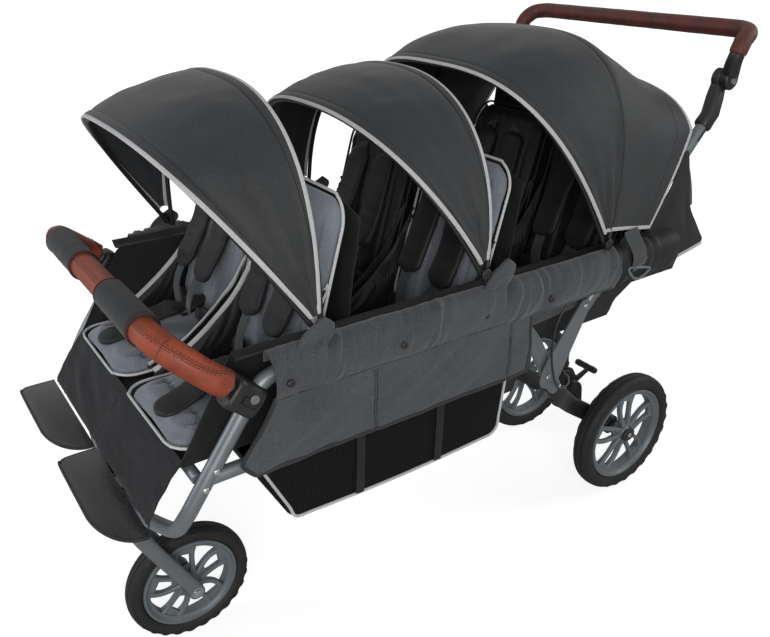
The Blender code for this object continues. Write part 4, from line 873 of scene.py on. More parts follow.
# Bumper sockets: black moulded clamps round the rails, with a framed window and a grey release
# button on the outer face. The bar's ends slide into them.
for side, sign in SIDES.items():
    front = socket_point(sign, 0.0225)
    rings = []
    for back_by, shrink in ((0.050, 0.86), (0.0485, 0.95), (0.046, 1.0), (0.034, 1.0), (0.032, 0.97), (0.016, 0.97),
                            (0.014, 1.0), (0.004, 1.0), (0.0015, 0.95), (0.0, 0.86)):
        middle = front - SOCKET_ALONG * back_by - SOCKET_UP * 0.006
        rings.append(section((middle, Vector((1, 0, 0)), SOCKET_UP), 0.0202 * shrink, 0.0248 * shrink, 40, 0.55))
    fit(f"bumper_socket_{side}", loft(rings), BLACK_NYLON, "frame", [f"bumper_clamp_{side}"])
    outline = rounded_outline([(-0.013, -0.006), (0.013, -0.006), (0.013, 0.007), (-0.013, 0.007)], 0.003)
    centre = front - SOCKET_ALONG * 0.030 - SOCKET_UP * 0.0075
    rings = []
    for grow, out in ((1.0, 0.0), (1.0, 0.0016), (0.90, 0.0018), (0.84, 0.0004), (0.84, -0.002)):
        at = [centre + SOCKET_ALONG * a * grow + SOCKET_UP * b * grow for a, b in outline]
        rings.append([Vector((sign * 0.3080 + sign * out, p.y, p.z)) for p in at])
    fit(f"bumper_socket_window_{side}", loft(rings), BLACK_NYLON, "frame")
    spot = socket_point(sign, -0.010)
    button = turned(flipped([(-0.0030, 0.0), (-0.0030, 0.0068), (0.0018, 0.0068), (0.0030, 0.0052), (0.0022, 0.0030),
                             (0.0020, 0.0)], sign), Vector((sign * 0.3081, spot.y, spot.z)), 28)
    fit(f"bumper_release_button_{side}", button, GREY_NYLON, f"bumper_push_{side}",
        [f"bumper_button_{side}"])


# Canopies: one curved sheet of charcoal twill a row, cut in gores and sewn over two hoops. Both
# edges are bound in light grey tape, with the hoop's casing stitched some 18 mm inside them.
def ripple(*at):
    """Smooth noise at a place, for gathers and creases."""
    return noise.noise(at)


def cloth_grid(rows, columns, point):
    """A cloth's points, from a function of the share of its way down and across."""
    return [[point(i / (rows - 1), j / (columns - 1)) for j in range(columns)] for i in range(rows)]


def cloth_skin(grid, thickness):
    """A sheet with its real thickness: a closed skin on both sides of a grid."""
    bm = bmesh.new()
    rows, columns = len(grid), len(grid[0])
    faces_of = ([], [])
    for i in range(rows):
        lines = ([], [])
        for j in range(columns):
            down = grid[min(i + 1, rows - 1)][j] - grid[max(i - 1, 0)][j]
            over = grid[i][min(j + 1, columns - 1)] - grid[i][max(j - 1, 0)]
            normal = down.cross(over)
            normal = normal.normalized() if normal.length > 1e-12 else Vector((0, 0, 1))
            for layer, way in enumerate((0.5, -0.5)):
                lines[layer].append(bm.verts.new(grid[i][j] + normal * thickness * way))
        for layer in (0, 1):
            faces_of[layer].append(lines[layer])
    upper, lower = faces_of
    for i in range(rows - 1):
        for j in range(columns - 1):
            bm.faces.new((upper[i][j], upper[i + 1][j], upper[i + 1][j + 1], upper[i][j + 1]))
            bm.faces.new((lower[i][j + 1], lower[i + 1][j + 1], lower[i + 1][j], lower[i][j]))
    rim = [(i, 0) for i in range(rows)] + [(rows - 1, j) for j in range(1, columns)]
    rim += [(i, columns - 1) for i in range(rows - 2, -1, -1)] + [(0, j) for j in range(columns - 2, 0, -1)]
    for (i, j), (m, n) in zip(rim, rim[1:] + rim[:1]):
        bm.faces.new((upper[i][j], lower[i][j], lower[m][n], upper[m][n]))
    return bm


def flat_rectangle(grid):
    """The sides of the smallest rectangle around a cloth that lies in one plane."""
    points = np.array([tuple(point) for row in grid for point in row])
    points -= points.mean(axis=0)
    level = points @ np.linalg.svd(points, full_matrices=False)[2][:2].T
    sizes = []
    for degrees in range(180):
        turn = math.radians(degrees)
        across = np.ptp(level @ np.array([math.cos(turn), math.sin(turn)]))
        along = np.ptp(level @ np.array([-math.sin(turn), math.cos(turn)]))
        sizes.append(sorted((float(across), float(along))))
    return min(sizes, key=lambda size: size[0] * size[1])


def declare(grid, lies_flat=False):
    """Measures the smallest rectangle round a sheet that lies flat, and keeps no result; other sheets are left alone.
    """
    if lies_flat:
        width, length = flat_rectangle(grid)


def binding(path, half_width, thickness, inward, bm=None):
    """A flat tape folded over an edge: a thin oval that lies in the cloth, inward from its edge."""
    frames = []
    for i, point in enumerate(path):
        tangent = (path[min(i + 1, len(path) - 1)] - path[max(i - 1, 0)]).normalized()
        flat = inward[i] - tangent * inward[i].dot(tangent)
        flat = flat.normalized()
        frames.append((point + flat * half_width * 0.55, flat, tangent.cross(flat)))
    rings = [section(f, half_width, thickness, 16, 0.8) for f in frames]
    return loft(rings, bm=bm)


# One twill in two copies: the canopies' copy is darker, as painted shade for their shaded tops, and the side panels'
# copy is lighter, as painted light where they face the lamps.
CANOPY_TWILL_SHADED = woven("charcoal_twill_with_painted_shade", "#15171a", "#303336", roughness=0.66, sheen=0.10, specular=0.36)
BLACK_TWILL = woven("black_polyester_twill", "#101113", "#282a2d", sheen=0.08, specular=0.2)
SIDE_TWILL_PAINTED_LIGHT = woven("side_twill_with_painted_light", "#2a2d31", "#4e5257", sheen=0.22)
TAPE = woven("light_grey_binding_tape", "#94969a", "#b9bbbe", roughness=0.75, thread=0.0012, sheen=0.15, specular=0.3)
BLACK_CLOTH = woven("black_polyester_lining", "#0d0e0f", "#202224", roughness=0.60, thread=0.0020, sheen=0.04,
                    specular=0.28)
DARK_THREAD = woven("black_sewing_thread", "#0c0c0d", "#161617", thread=0.0008, sheen=0.0)
CANOPY_HALF_WIDTH = 0.292
CANOPIES = {
    "front": (0.147, 0.735, 0.310, 2.6, 125, 88, 0.45),
    "middle": (0.455, 0.745, 0.287, 2.4, 123, 84, 0.45),
    "rear": (0.745, 0.735, 0.345, 3.0, 122, 80, 0.40),
}
HOOP_STEPS = 120
HOOP_RADIUS, HOOP_INSET = 0.0042, math.radians(1.9)
STAY_FOOT = 0.7223
TAPE_HALF, TAPE_THICK = 0.0036, 0.0019
CLOTH_OUT = 0.0018


def arch_point(pivot, height, roundness, angle, t, grow=0.0, ahead=0.0):
    """A point of a canopy hoop, at an angle about its pivots and set a little ahead of them."""
    half = CANOPY_HALF_WIDTH + grow
    x = half * power(math.cos(t), 2 / roundness)
    r = (height + grow) * abs(math.sin(t)) ** (2 / roundness)
    return place(x, pivot[0] + r * math.cos(angle) - ahead * math.sin(angle),
                 pivot[1] + r * math.sin(angle) + ahead * math.cos(angle))


def rear_edge_point(t, roundness, grow):
    """A point of the rear canopy's far edge, which hangs down behind the last row."""
    u = abs(math.sin(t)) ** (2 / roundness)
    x = (CANOPY_HALF_WIDTH - 0.008 + grow) * power(math.cos(t), 2 / roundness)
    side, over = min(1.0, max(0.0, u - 0.0754) / 0.4246), max(0.0, (u - 0.5) / 0.5)
    return place(x, 0.865 + 0.100 * side, 0.740 + 0.165 * side + 0.080 * over + grow * side)


def edge_columns(count, total):
    """Shares across a canopy, set close together where its casings are stitched."""
    marks = [0, 0.002, 0.005, 0.009, 0.013, 0.0155, 0.0170, 0.0180, 0.0190, 0.0205, 0.024, 0.030]
    marks = [m / total for m in marks]
    middle = [marks[-1] + (1 - 2 * marks[-1]) * i / count for i in range(1, count)]
    return marks + middle + [1 - m for m in reversed(marks)]


def casing(distance):
    """How far the cloth stands out over the hoop near an edge, and dips at its row of stitches."""
    bulge, dip = math.exp(-(((distance - 0.008) / 0.006) ** 2)), math.exp(-(((distance - 0.018) / 0.0016) ** 2))
    return 0.0016 * bulge - 0.0013 * dip


for row, (s0, z0, height, roundness, front_deg, rear_deg, sag) in CANOPIES.items():
    pivot = (s0, z0)
    front_edge, rear_edge = math.radians(front_deg), math.radians(rear_deg)
    start = math.asin((0.026 / height) ** (roundness / 2))
    ts = [start + (math.pi - 2 * start) * (i / HOOP_STEPS) for i in range(HOOP_STEPS + 1)]
    spread = front_edge - rear_edge
    columns = edge_columns(16, height * spread)
    seed = {"front": 3.0, "middle": 11.0, "rear": 23.0}[row]
    grid = []
    tail = [k / 14 for k in range(1, 15)] if row == "rear" else []
    for t in ts:
        line = []
        u = abs(math.sin(t)) ** (2 / roundness)
        for c in columns:
            angle = front_edge - spread * c
            arc = u * height * spread
            d_front, d_rear = c * arc, (1 - c) * arc
            between = math.sin(math.pi * c)
            point = arch_point(pivot, height, roundness, angle, t)
            outward = (arch_point(pivot, height, roundness, angle, t, 0.01) - point).normalized()
            flow = Vector((t * 2.2, c * 1.1 + u, seed))
            pull = ripple(c * 5.0 + seed, u * 0.8, math.copysign(2.0, math.cos(t)))
            wave = 0.0080 * pull * (1 - u) ** 0.35 * between
            wave += 0.0040 * noise.noise(flow * 1.5) * between + 0.0018 * noise.noise(flow * 4.0) * between
            dip = -0.0045 * between * sag * min(1.0, u * 1.4)
            push = CLOTH_OUT + wave + dip + casing(d_front) + casing(d_rear) * (0.7 if row == "rear" else 1.0)
            line.append(point + outward * push)
        if tail:
            edge, goal = line[-1], rear_edge_point(t, roundness, CLOTH_OUT)
            outward = (rear_edge_point(t, roundness, 0.01) - rear_edge_point(t, roundness, 0.0)).normalized()
            span = (edge - goal).length
            for share in tail:
                between = math.sin(math.pi * share)
                wave = 0.0055 * ripple(t * 3.0, share * 1.6, seed + 5) * between
                wave += casing((1 - share) * span) * 0.8 + casing(share * span) * 0.5
                line.append(edge.lerp(goal, share) + outward * (wave - 0.006 * between * u))
        grid.append(line)
    cover = fit(f"{row}_canopy_cloth", cloth_skin(grid, 0.0014), CANOPY_TWILL_SHADED, None, [f"canopy_{row}"], 60)
    bow = f"bow_{row}"
    edges = bmesh.new()
    front_line = [line[0] for line in grid]
    rear_line = [line[-1] for line in grid]
    binding(front_line, TAPE_HALF, TAPE_THICK, [line[4] - line[0] for line in grid], edges)
    binding(rear_line, TAPE_HALF, TAPE_THICK, [line[-5] - line[-1] for line in grid], edges)
    if row == "rear":
        for low, inner in ((grid[0], grid[2]), (grid[-1], grid[-3])):
            hem, inside = (even_path(line[::3] + [line[-1]], 50) for line in (low, inner))
            binding(hem, TAPE_HALF, TAPE_THICK, [b - a for a, b in zip(hem, inside)], edges)
    tape = fit(f"{row}_canopy_binding", edges, TAPE, None, sharp=60)
    # The seam lines are continuous dark thread in the casings' stitch grooves: partly the real stitching, partly
    # painted shade of the grooves.
    seams = bmesh.new()
    for column in [7, len(columns) - 8] + ([len(grid[0]) - 4] if row == "rear" else []):
        tube([line[column] + (line[column] - place(0, s0 + 0.1, z0)).normalized() * 0.0004 for line in grid],
             0.0006, sides=6, bm=seams)
    seam = fit(f"{row}_canopy_seams", seams, DARK_THREAD, None)
    declare(grid)
    for soft in (cover, tape, seam):
        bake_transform(soft)

    flat = 0.0045 * math.cos(math.pi / 6)
    hoop_ts = [0.0] + [start + (math.pi - 2 * start) * i / 60 for i in range(61)] + [math.pi]
    angle = front_edge - HOOP_INSET
    bow_path = [arch_point(pivot, height, roundness, angle, t, -(flat + 0.0010), 0.0050) for t in hoop_ts]
    hoop = tube(bow_path, HOOP_RADIUS, sides=14)
    for sign, foot in ((1, bow_path[0]), (-1, bow_path[-1])):
        turned([(-0.0026, 0.0), (-0.0026, 0.0094), (-0.0014, 0.0102), (0.0014, 0.0102), (0.0026, 0.0086),
                (0.0030, 0.0)],
               place(sign * 0.2944, s0, z0), 28, (sign, 0, 0), bm=hoop)
        rod(Vector((sign * 0.2895, foot.y, foot.z)), 0.004, 0.0080, sides=14, bm=hoop)
    fit(f"{row}_canopy_hoop", hoop, BLACK_NYLON, bow, [f"canopy_bow_{row}"])
    angle = rear_edge + HOOP_INSET
    stay_path = [arch_point(pivot, height, roundness, angle, t, -(flat + 0.0006), -0.0050) for t in hoop_ts]
    feet = [Vector((p.x, p.y, STAY_FOOT)) for p in (stay_path[0], stay_path[-1])]
    stay_path = feet[:1] + stay_path + feet[1:]
    fit(f"{row}_canopy_stay", tube(stay_path, HOOP_RADIUS, sides=14), BLACK_NYLON, "frame",
        [f"canopy_stay_{row}"])


# Side panels: a soft roll of the same twill hides each rail, gathered at the canopy pivots; their copy of the
# twill is painted lighter, as painted light. Below its hem a flat skirt hangs over the seats' sides, snapped on and
# edged in dark tape.
def panel_front(z):
    """The station where the cloth begins at a height: it is cut on a slant over the leg tube."""
    return 0.004 + 0.062 * min(1.0, max(0.0, (z - 0.560) / 0.095))


def roll_profile(s):
    """The outline of a side roll across X and Z at a station: a soft pad folded over the rail."""
    near = max(math.exp(-(((s - g) / 0.030) ** 2)) for g in (0.120, 0.300, 0.475, 0.760))
    pleat = 0.0058 * near + 0.0007
    outline = [(0.2757, 0.7006), (0.2757, 0.7125), (0.2790, 0.7185), (0.2850, 0.7220), (0.2925, 0.7222),
               (0.3005, 0.7195), (0.3072, 0.7140), (0.3118, 0.7060), (0.3140, 0.6960), (0.3142, 0.6860),
               (0.3130, 0.6760), (0.3108, 0.6660), (0.3080, 0.6585), (0.3060, 0.6530), (0.3052, 0.6500)]
    result = []
    for k, (x, z) in enumerate(outline):
        free = math.sin(math.pi * k / (len(outline) - 1)) ** 0.6
        ruck = ripple(s * 95 + k * 0.28, k * 0.16, 1.5) * pleat * free
        puff = (0.0060 * ripple(s * 17, 4.0, k * 0.12) +
                0.0034 * ripple(s * 46 + k * 0.45, 9.0, k * 0.20)) * free
        high = math.exp(-(((k - 5.8) / 2.9) ** 2))
        slant = s * 2 * math.pi / 0.027 + k * 0.55 + 7.0 * ripple(s * 8, 3.0, k * 0.06)
        depth = max(0.0, 0.35 + 1.3 * ripple(s * 19, 1.0, k * 0.11))
        ruck += 0.0046 * math.sin(slant) * high * depth
        result.append((x + (ruck + puff - 0.001) * (0.9 if k > 4 else 0.35),
                       z + (ruck + puff) * (0.7 if k < 9 else 0.1)))
    return result


SKIRT_SEAMS = (0.234, 0.508)
SNAPS = ((0.086, 0.678), (0.279, 0.680), (0.444, 0.683), (0.589, 0.676), (0.760, 0.678))
ROLL_END = 372
snap_spots = []
for side, sign in SIDES.items():
    grid = [[place(sign * x, panel_front(z) + (RAIL_END - panel_front(z)) * i / 460, z)
             for x, z in roll_profile(0.004 + (RAIL_END - 0.004) * i / 460)] for i in range(461)]
    roll = fit(f"side_roll_{side}", cloth_skin(grid[: ROLL_END + 1], 0.0024), SIDE_TWILL_PAINTED_LIGHT, "frame",
               [f"side_panel_{side}"], 60)
    declare(grid[: ROLL_END + 1])
    rear_roll = fit(f"rear_rail_cover_{side}", cloth_skin(grid[ROLL_END:], 0.0020), BLACK_CLOTH, "frame",
                    sharp=60)
    declare(grid[ROLL_END:])

    def skirt_point(share, down):
        """A point of the skirt: flat cloth with two seams, cut back round the front leg."""
        z = 0.6545 - (0.6545 - 0.5385) * down
        begin = panel_front(z) + 0.022 * max(0.0, (0.575 - z) / 0.0365) ** 2.5
        s = begin + (0.556 - begin) * share
        drop = 0.007 * max(0.0, (0.045 - (s - 0.004)) / 0.045) ** 2 * down
        bulge = 0.0040 * ripple(s * 8, down * 1.8, 3.0 * sign)
        bulge += 0.0026 * ripple(s * 24 + down * 5, down * 2.4, 7.0)
        for seam_at in SKIRT_SEAMS:
            bulge -= 0.0022 * math.exp(-(((s - seam_at) / 0.0045) ** 2))
            bulge += 0.0012 * math.exp(-(((s - seam_at) / 0.016) ** 2))
        bulge += 0.0028 * math.sin(math.pi * down) * (0.6 + 0.4 * math.sin(s * 23))
        return place(sign * (0.3029 + bulge), s, z + drop)

    skirt = cloth_grid(141, 31, skirt_point)
    panel = fit(f"side_skirt_{side}", cloth_skin(skirt, 0.0022), SIDE_TWILL_PAINTED_LIGHT, "frame", sharp=60)
    hem = bmesh.new()
    lower = [line[-1] for line in skirt]
    binding(lower, 0.0040, 0.0020, [line[-3] - line[-1] for line in skirt], hem)
    binding(skirt[0], 0.0036, 0.0020, [a - b for a, b in zip(skirt[3], skirt[0])], hem)
    binding(skirt[-1], 0.0036, 0.0020, [a - b for a, b in zip(skirt[-4], skirt[-1])], hem)
    edge = fit(f"side_skirt_binding_{side}", hem, SLEEVE_CLOTH, "frame", sharp=60)
    lines = bmesh.new()
    for at in (FRONT_AXLE_Y + seam_at + inset for seam_at in SKIRT_SEAMS for inset in (-0.0022, 0.0022)):
        straight = [min((line[j] for line in skirt), key=lambda p: abs(p.y - at)) for j in range(2, 29)]
        tube([Vector((p.x + sign * 0.0013, at, p.z)) for p in straight], 0.0005, sides=6, bm=lines)
    hem_line = [line[-2] + Vector((sign * 0.0010, 0, 0)) for line in grid]
    tube(hem_line, 0.0007, sides=6, bm=lines)
    thread = fit(f"side_skirt_stitching_{side}", lines, DARK_THREAD, "frame")
    declare(skirt, lies_flat=True)
    for s, z in SNAPS:
        line = roll_profile(s)
        x = min(line, key=lambda p: abs(p[1] - z))[0]
        snap_spots.append((place(sign * (x + 0.0012), s, z), (sign, 0, 0.15), (0, 1, 0)))
repeat("side_snaps", stamped("snap_stamp", dome(0.0058, 0.0030)), snap_spots, BLACK_NYLON, "frame")


# Ear covers: a padded tab of twill is sewn on the roll beside each canopy pivot of the two front
# rows and leans over the hub, so that small fingers stay out of it.
EARS = {"front": (0.122, 0.7155), "middle": (0.468, 0.7250)}
for row, (s0, z0) in EARS.items():
    for side, sign in SIDES.items():
        def ear_point(up, share):
            """A point of an ear's outer face, which is rounded off at the top."""
            over = share * 2 - 1
            taper = math.sqrt(max(0.0, 1 - max(0.0, (up - 0.55) / 0.45) ** 2.2))
            width = 0.0260 * (1 - 0.35 * (up - 0.35) ** 2) * taper
            s = s0 + 0.002 + 0.030 * up + over * max(width, 0.0008)
            puff = 0.0045 * (1 - over * over) * math.sin(math.pi * min(1, up * 1.1)) ** 0.5
            puff += 0.0012 * ripple(over * 2.2, up * 4, s0 * 20)
            return place(sign * (0.3010 + puff - 0.004 * up), s, z0 - 0.004 + 0.0430 * up - 0.006 * over * over)

        rings = [line + [Vector((p.x - sign * 0.0042, p.y, p.z)) for p in reversed(line)]
                 for line in cloth_grid(25, 21, ear_point)]
        ear = fit(f"{row}_ear_cover_{side}", loft(rings), SIDE_TWILL_PAINTED_LIGHT, "frame", sharp=75)


# Seats: quilted pads of blue grey cloth in a folded liner, stuffed in channels up the back, with
# a tufted seat and light grey piping round the edge. One pad is puffed up and used six times,
# and three of the copies are covered in black cloth as painted shade under the canopies.
PAD_CLOTH = woven("blue_grey_cushion_cloth", "#555b66", "#7f868f", roughness=0.9, thread=0.0015, sheen=0.35)
PIPING = woven("light_grey_piping", "#9c9fa4", "#c0c3c6", roughness=0.7, thread=0.0010, sheen=0.1)
WEBBING = woven("dark_grey_webbing", "#2a2d30", "#44484c", thread=0.0022, slope=0.0, depth=0.0003)
ROW_BACKS = {"front": 0.160, "middle": 0.482, "rear": 0.822}
PAD_X, PAD_HALF, PAD_THICK = 0.12725, 0.1085, 0.0095
MOST_PUFF = 0.0065
PUFF_STEPS = 20
LEAN = math.radians(16)
RISE = Vector((0, math.sin(LEAN), math.cos(LEAN)))


def pad_line(back, count=61):
    """The middle line of a seat pad: along the seat, round the fold and up the back."""
    level = 0.5749
    front = back - 0.215
    fold = place(0, back - 0.016, level + 0.014)
    return even_path(
        [place(0, front - 0.010, level + 0.001), place(0, front + 0.020, level + 0.0005),
         place(0, front + 0.110, level), place(0, back - 0.042, level + 0.001), fold + Vector((0, 0.002, 0.004)),
         fold + RISE * 0.050, fold + RISE * 0.160, fold + RISE * 0.320], count)


def pad_width(distance, total, half):
    """Half the width of a pad at a distance along it, drawn in at its round corners."""
    for from_end, radius in ((distance, 0.040), (total - distance, 0.048)):
        if from_end < radius:
            return half - radius + math.sqrt(max(0.0, radius**2 - (radius - from_end) ** 2))
    return half


def pad_shell(half, thick):
    """A seat pad before it is stuffed."""
    line = pad_line(ROW_BACKS["front"], 75)
    total = path_lengths(line)[-1]
    rings = []
    for k, (point, across, upright) in enumerate(path_frames(line)):
        distance = total * k / (len(line) - 1)
        width = pad_width(min(max(distance, 0.0022), total - 0.0022), total, half)
        depth = thick * (0.35 + 0.65 * min(1.0, min(distance, total - distance) / 0.012) ** 0.5)
        rings.append(section((point + Vector((PAD_X, 0, 0)), across, upright), width, depth, 40, 0.45))
    return loft(rings)


pad = fit("front_pad_left", pad_shell(PAD_HALF, PAD_THICK), PAD_CLOTH, None)
remesh = pad.modifiers.new("even_faces", "REMESH")
remesh.mode, remesh.voxel_size = "VOXEL", 0.0052
pad.data = baked(pad)
rest = np.array([v.co for v in pad.data.vertices])
puffed = pad.modifiers.new("stuffing", "CLOTH")
puffed.settings.use_pressure = True
puffed.settings.uniform_pressure_force = 4.0
puffed.settings.quality = 4
puffed.settings.mass = 0.3
puffed.settings.effector_weights.gravity = 0
puffed.point_cache.frame_start, puffed.point_cache.frame_end = 1, PUFF_STEPS
for step in range(1, PUFF_STEPS + 1):
    bpy.context.scene.frame_set(step)
swollen = np.array([v.co for v in baked(pad).vertices])
bpy.context.scene.frame_set(1)
moved = swollen - rest
reach = np.linalg.norm(moved, axis=1)
moved *= (np.minimum(reach, MOST_PUFF) / np.maximum(reach, 1e-9))[:, None]
pad.data.vertices.foreach_set("co", (rest + moved).ravel())
finer = pad.modifiers.new("finer", "SUBSURF")
finer.levels = finer.render_levels = 1
pad.data = baked(pad)

# The sewn channels and tufts pull the pad's cover in along their lines.
line = pad_line(ROW_BACKS["front"], 400)
centres = np.array(line)
frames_of_pad = path_frames(line)
tops = np.array([-upright for _, _, upright in frames_of_pad])
steps_along = np.array(path_lengths(line))
pad_total = steps_along[-1]
co = np.array([v.co for v in pad.data.vertices])
near = np.argmin(((co[:, None, 1:] - centres[None, :, 1:]) ** 2).sum(2), axis=1)
along = steps_along[near]
over = co[:, 0] - PAD_X
lift = ((co - centres[near]) * tops[near]).sum(1)
upper = np.clip(lift / 0.008, 0, 1)
FOLD_AT = 0.232
on_back = np.clip((along - FOLD_AT - 0.015) / 0.02, 0, 1) * np.clip((pad_total - 0.026 - along) / 0.02, 0, 1)
dip = np.zeros(len(co))
for channel in (-0.078, -0.027, 0.027, 0.078):
    dip += 0.0062 * np.exp(-(((over - channel) / 0.0048) ** 2)) * on_back
on_seat = np.clip((along - 0.030) / 0.015, 0, 1) * np.clip((FOLD_AT - 0.015 - along) / 0.02, 0, 1)
for channel in (-0.070, 0.070):
    dip += 0.0050 * np.exp(-(((over - channel) / 0.0050) ** 2)) * on_seat
dip += 0.0050 * np.exp(-(((along - 0.062) / 0.0055) ** 2)) * (np.abs(over) < 0.085)
dip += 0.0060 * np.exp(-(((along - FOLD_AT) / 0.0060) ** 2))
for tuft_s, tuft_x in ((0.062, 0.036), (0.062, -0.036), (0.062, 0.078), (0.062, -0.078)):
    dip += 0.0050 * np.exp(-((along - tuft_s) ** 2 + (over - tuft_x) ** 2) / 0.012**2)
rucks = np.array([ripple(a * 34, o * 34, 2.0) + 0.6 * ripple(a * 80, o * 70, 5.0)
                  for a, o in zip(along, over)])
dip += 0.0011 * rucks
co -= tops[near] * (dip * upper)[:, None]
pad.data.vertices.foreach_set("co", co.ravel())
pad.data.update()
pad.data.shade_smooth()
if not pad.data.materials:
    pad.data.materials.append(PAD_CLOTH)

pad_stations = even_path(pad_line(ROW_BACKS["front"], 120), 200)
rim = []
for k, point in enumerate(pad_stations):
    distance = pad_total * k / 199
    rim.append((point, pad_width(distance, pad_total, PAD_HALF + 0.0052)))
outline = [p + Vector((PAD_X + w, 0, 0)) for p, w in rim] + [p + Vector((PAD_X - w, 0, 0)) for p, w in reversed(rim)]
outline = even_path(outline + outline[:1], 420)
piping = fit("front_pad_piping_left", tube(outline, 0.0024, sides=10), PIPING, None, sharp=80)

for row, back in ROW_BACKS.items():
    for side, sign in SIDES.items():
        shift = back - ROW_BACKS["front"]
        made = []
        for source, label in ((pad, "pad"), (piping, "pad_piping")):
            if row == "front" and side == "left":
                copy = source
            else:
                copy = link_object(f"{row}_{label}_{side}", source.data.copy())
                flip = Matrix.Translation((0, shift, 0)) @ Matrix.Diagonal((sign, 1, 1, 1))
                copy.data.transform(flip)
                if sign < 0:
                    copy.data.flip_normals()
            made.append(copy)
        # These three copies, pad and piping, get black cloth instead: painted shade for the deep shade under the middle
        # and rear canopies.
        if (row, side) in (("middle", "right"), ("rear", "left"), ("rear", "right")):
            for copy in made:
                copy.data.materials.clear()
                copy.data.materials.append(BLACK_CLOTH)
        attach(made[0], "frame")
        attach(made[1], "frame")
        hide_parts(f"seat_{row}_{side}")


# Harness: each seat has black shoulder pads, a crotch strap in a padded sleeve, grey webbing
# through slots in the pad and a black buckle where they meet.
WEB_HALF, WEB_THICK = 0.0125, 0.0011
TANGLES = {"front": 0.0, "middle": 3.0, "rear": 6.0}


def strap(path, half_width, thickness, side, wave=0.0, seed=0.0, bm=None, taper=0.0):
    """A flat strap or a thin stuffed sleeve along a path, rounded off at both ends."""
    total = path_lengths(path)[-1]
    rings = []
    for frame_at, distance in zip(path_frames(path, side), path_lengths(path)):
        end = min(distance, total - distance) / max(taper, 1e-4)
        shrink = math.sqrt(max(0.02, 1 - max(0.0, 1 - end) ** 2)) if taper else 1.0
        ruck = 1 + wave * noise.noise(frame_at[0] * 60 + Vector((seed, 0, 0)))
        rings.append(section(frame_at, half_width * shrink, thickness * (0.35 + 0.65 * shrink) * ruck, 28, 0.75))
    return loft(rings, bm=bm)


def pad_point(back, distance, over, lift, sign=1):
    """A point over a seat pad, by its distance along the pad, across it and above it."""
    k = min(range(len(steps_along)), key=lambda i: abs(steps_along[i] - distance))
    point = Vector(centres[k]) + Vector(tops[k]) * lift
    return Vector((sign * (PAD_X + over), point.y + back - ROW_BACKS["front"], point.z))


for row, back in ROW_BACKS.items():
    for side, sign in SIDES.items():
        webs, pads = bmesh.new(), bmesh.new()
        tangle = TANGLES[row] + sign
        for way in (-1, 1):
            slack = 0.010 * ripple(tangle, way, 0.5)
            route = [pad_point(back, d, way * o + slack * 0.5, l, sign) for d, o, l in (
                (0.500, 0.036, 0.0115), (0.480, 0.038, 0.0175), (0.440, 0.041, 0.022), (0.380, 0.045, 0.026),
                (0.320, 0.044, 0.036 + slack), (0.270, 0.036, 0.050 + slack), (0.225, 0.022, 0.052))]
            route = even_path(route, 44)
            strap(route, WEB_HALF, WEB_THICK, (1, 0, 0), bm=webs)
            strap(route[3:33], 0.0300, 0.0085, (1, 0, 0), 0.55, tangle + way, pads, 0.020)
            lap = even_path([pad_point(back, d, way * o, l, sign) for d, o, l in (
                (0.214, 0.100, 0.012), (0.205, 0.088, 0.020), (0.195, 0.055, 0.030), (0.190, 0.020, 0.038))], 20)
            strap(lap, 0.0120, WEB_THICK, (0, 0, 1), bm=webs)
            strap(lap[2:17], 0.0260, 0.0075, (0, 0, 1), 0.55, tangle + way + 9, pads, 0.018)
        crotch = even_path([pad_point(back, d, 0.003 * math.sin(d * 40), l, sign) for d, l in (
            (0.096, 0.008), (0.094, 0.022), (0.108, 0.036), (0.140, 0.040), (0.172, 0.038))], 24)
        strap(crotch, WEB_HALF, WEB_THICK, (1, 0, 0), bm=webs)
        flop = 0.012 * ripple(tangle, 2.0, 9.0)
        tongue = even_path([pad_point(back, d, o, l, sign) for d, o, l in (
            (0.165, -0.002, 0.050), (0.130, 0.002, 0.050), (0.095, 0.006 + flop, 0.038), (0.060, 0.010 + flop, 0.026),
            (0.030, 0.014 + flop, 0.019), (0.010, 0.016 + flop, 0.014))], 40)
        strap(tongue, 0.0270, 0.0070, (1, 0, 0), 0.50, tangle + 4, pads, 0.022)
        web = fit(f"{row}_harness_webbing_{side}", webs, WEBBING, "frame", sharp=50)
        cover = fit(f"{row}_harness_pads_{side}", pads, BLACK_CLOTH, "frame", sharp=70)
        middle = pad_point(back, 0.190, 0.0, 0.0455, sign)
        buckle = bmesh.new()
        heading = (pad_point(back, 0.21, 0, 0, sign) - pad_point(back, 0.17, 0, 0, sign)).normalized()
        body_path = [middle + heading * d for d in (-0.024, -0.022, -0.012, 0.0, 0.012, 0.020, 0.022)]
        swell = [0.015, 0.0175, 0.0195, 0.0205, 0.0195, 0.0175, 0.015]
        tube(body_path, swell, 0.0062, sides=28, flat=0.6, bm=buckle)
        nose = [middle + heading * 0.018, middle + heading * 0.036]
        tube(nose, 0.011, 0.0035, sides=16, flat=0.5, edge=0.001, bm=buckle)
        button = [middle + Vector((0, 0, 0.0056)), middle + Vector((0, 0, 0.0082))]
        tube(button, [0.0085, 0.0070], sides=24, side=(1, 0, 0), bm=buckle)
        fit(f"{row}_buckle_{side}", buckle, BLACK_NYLON, "frame")


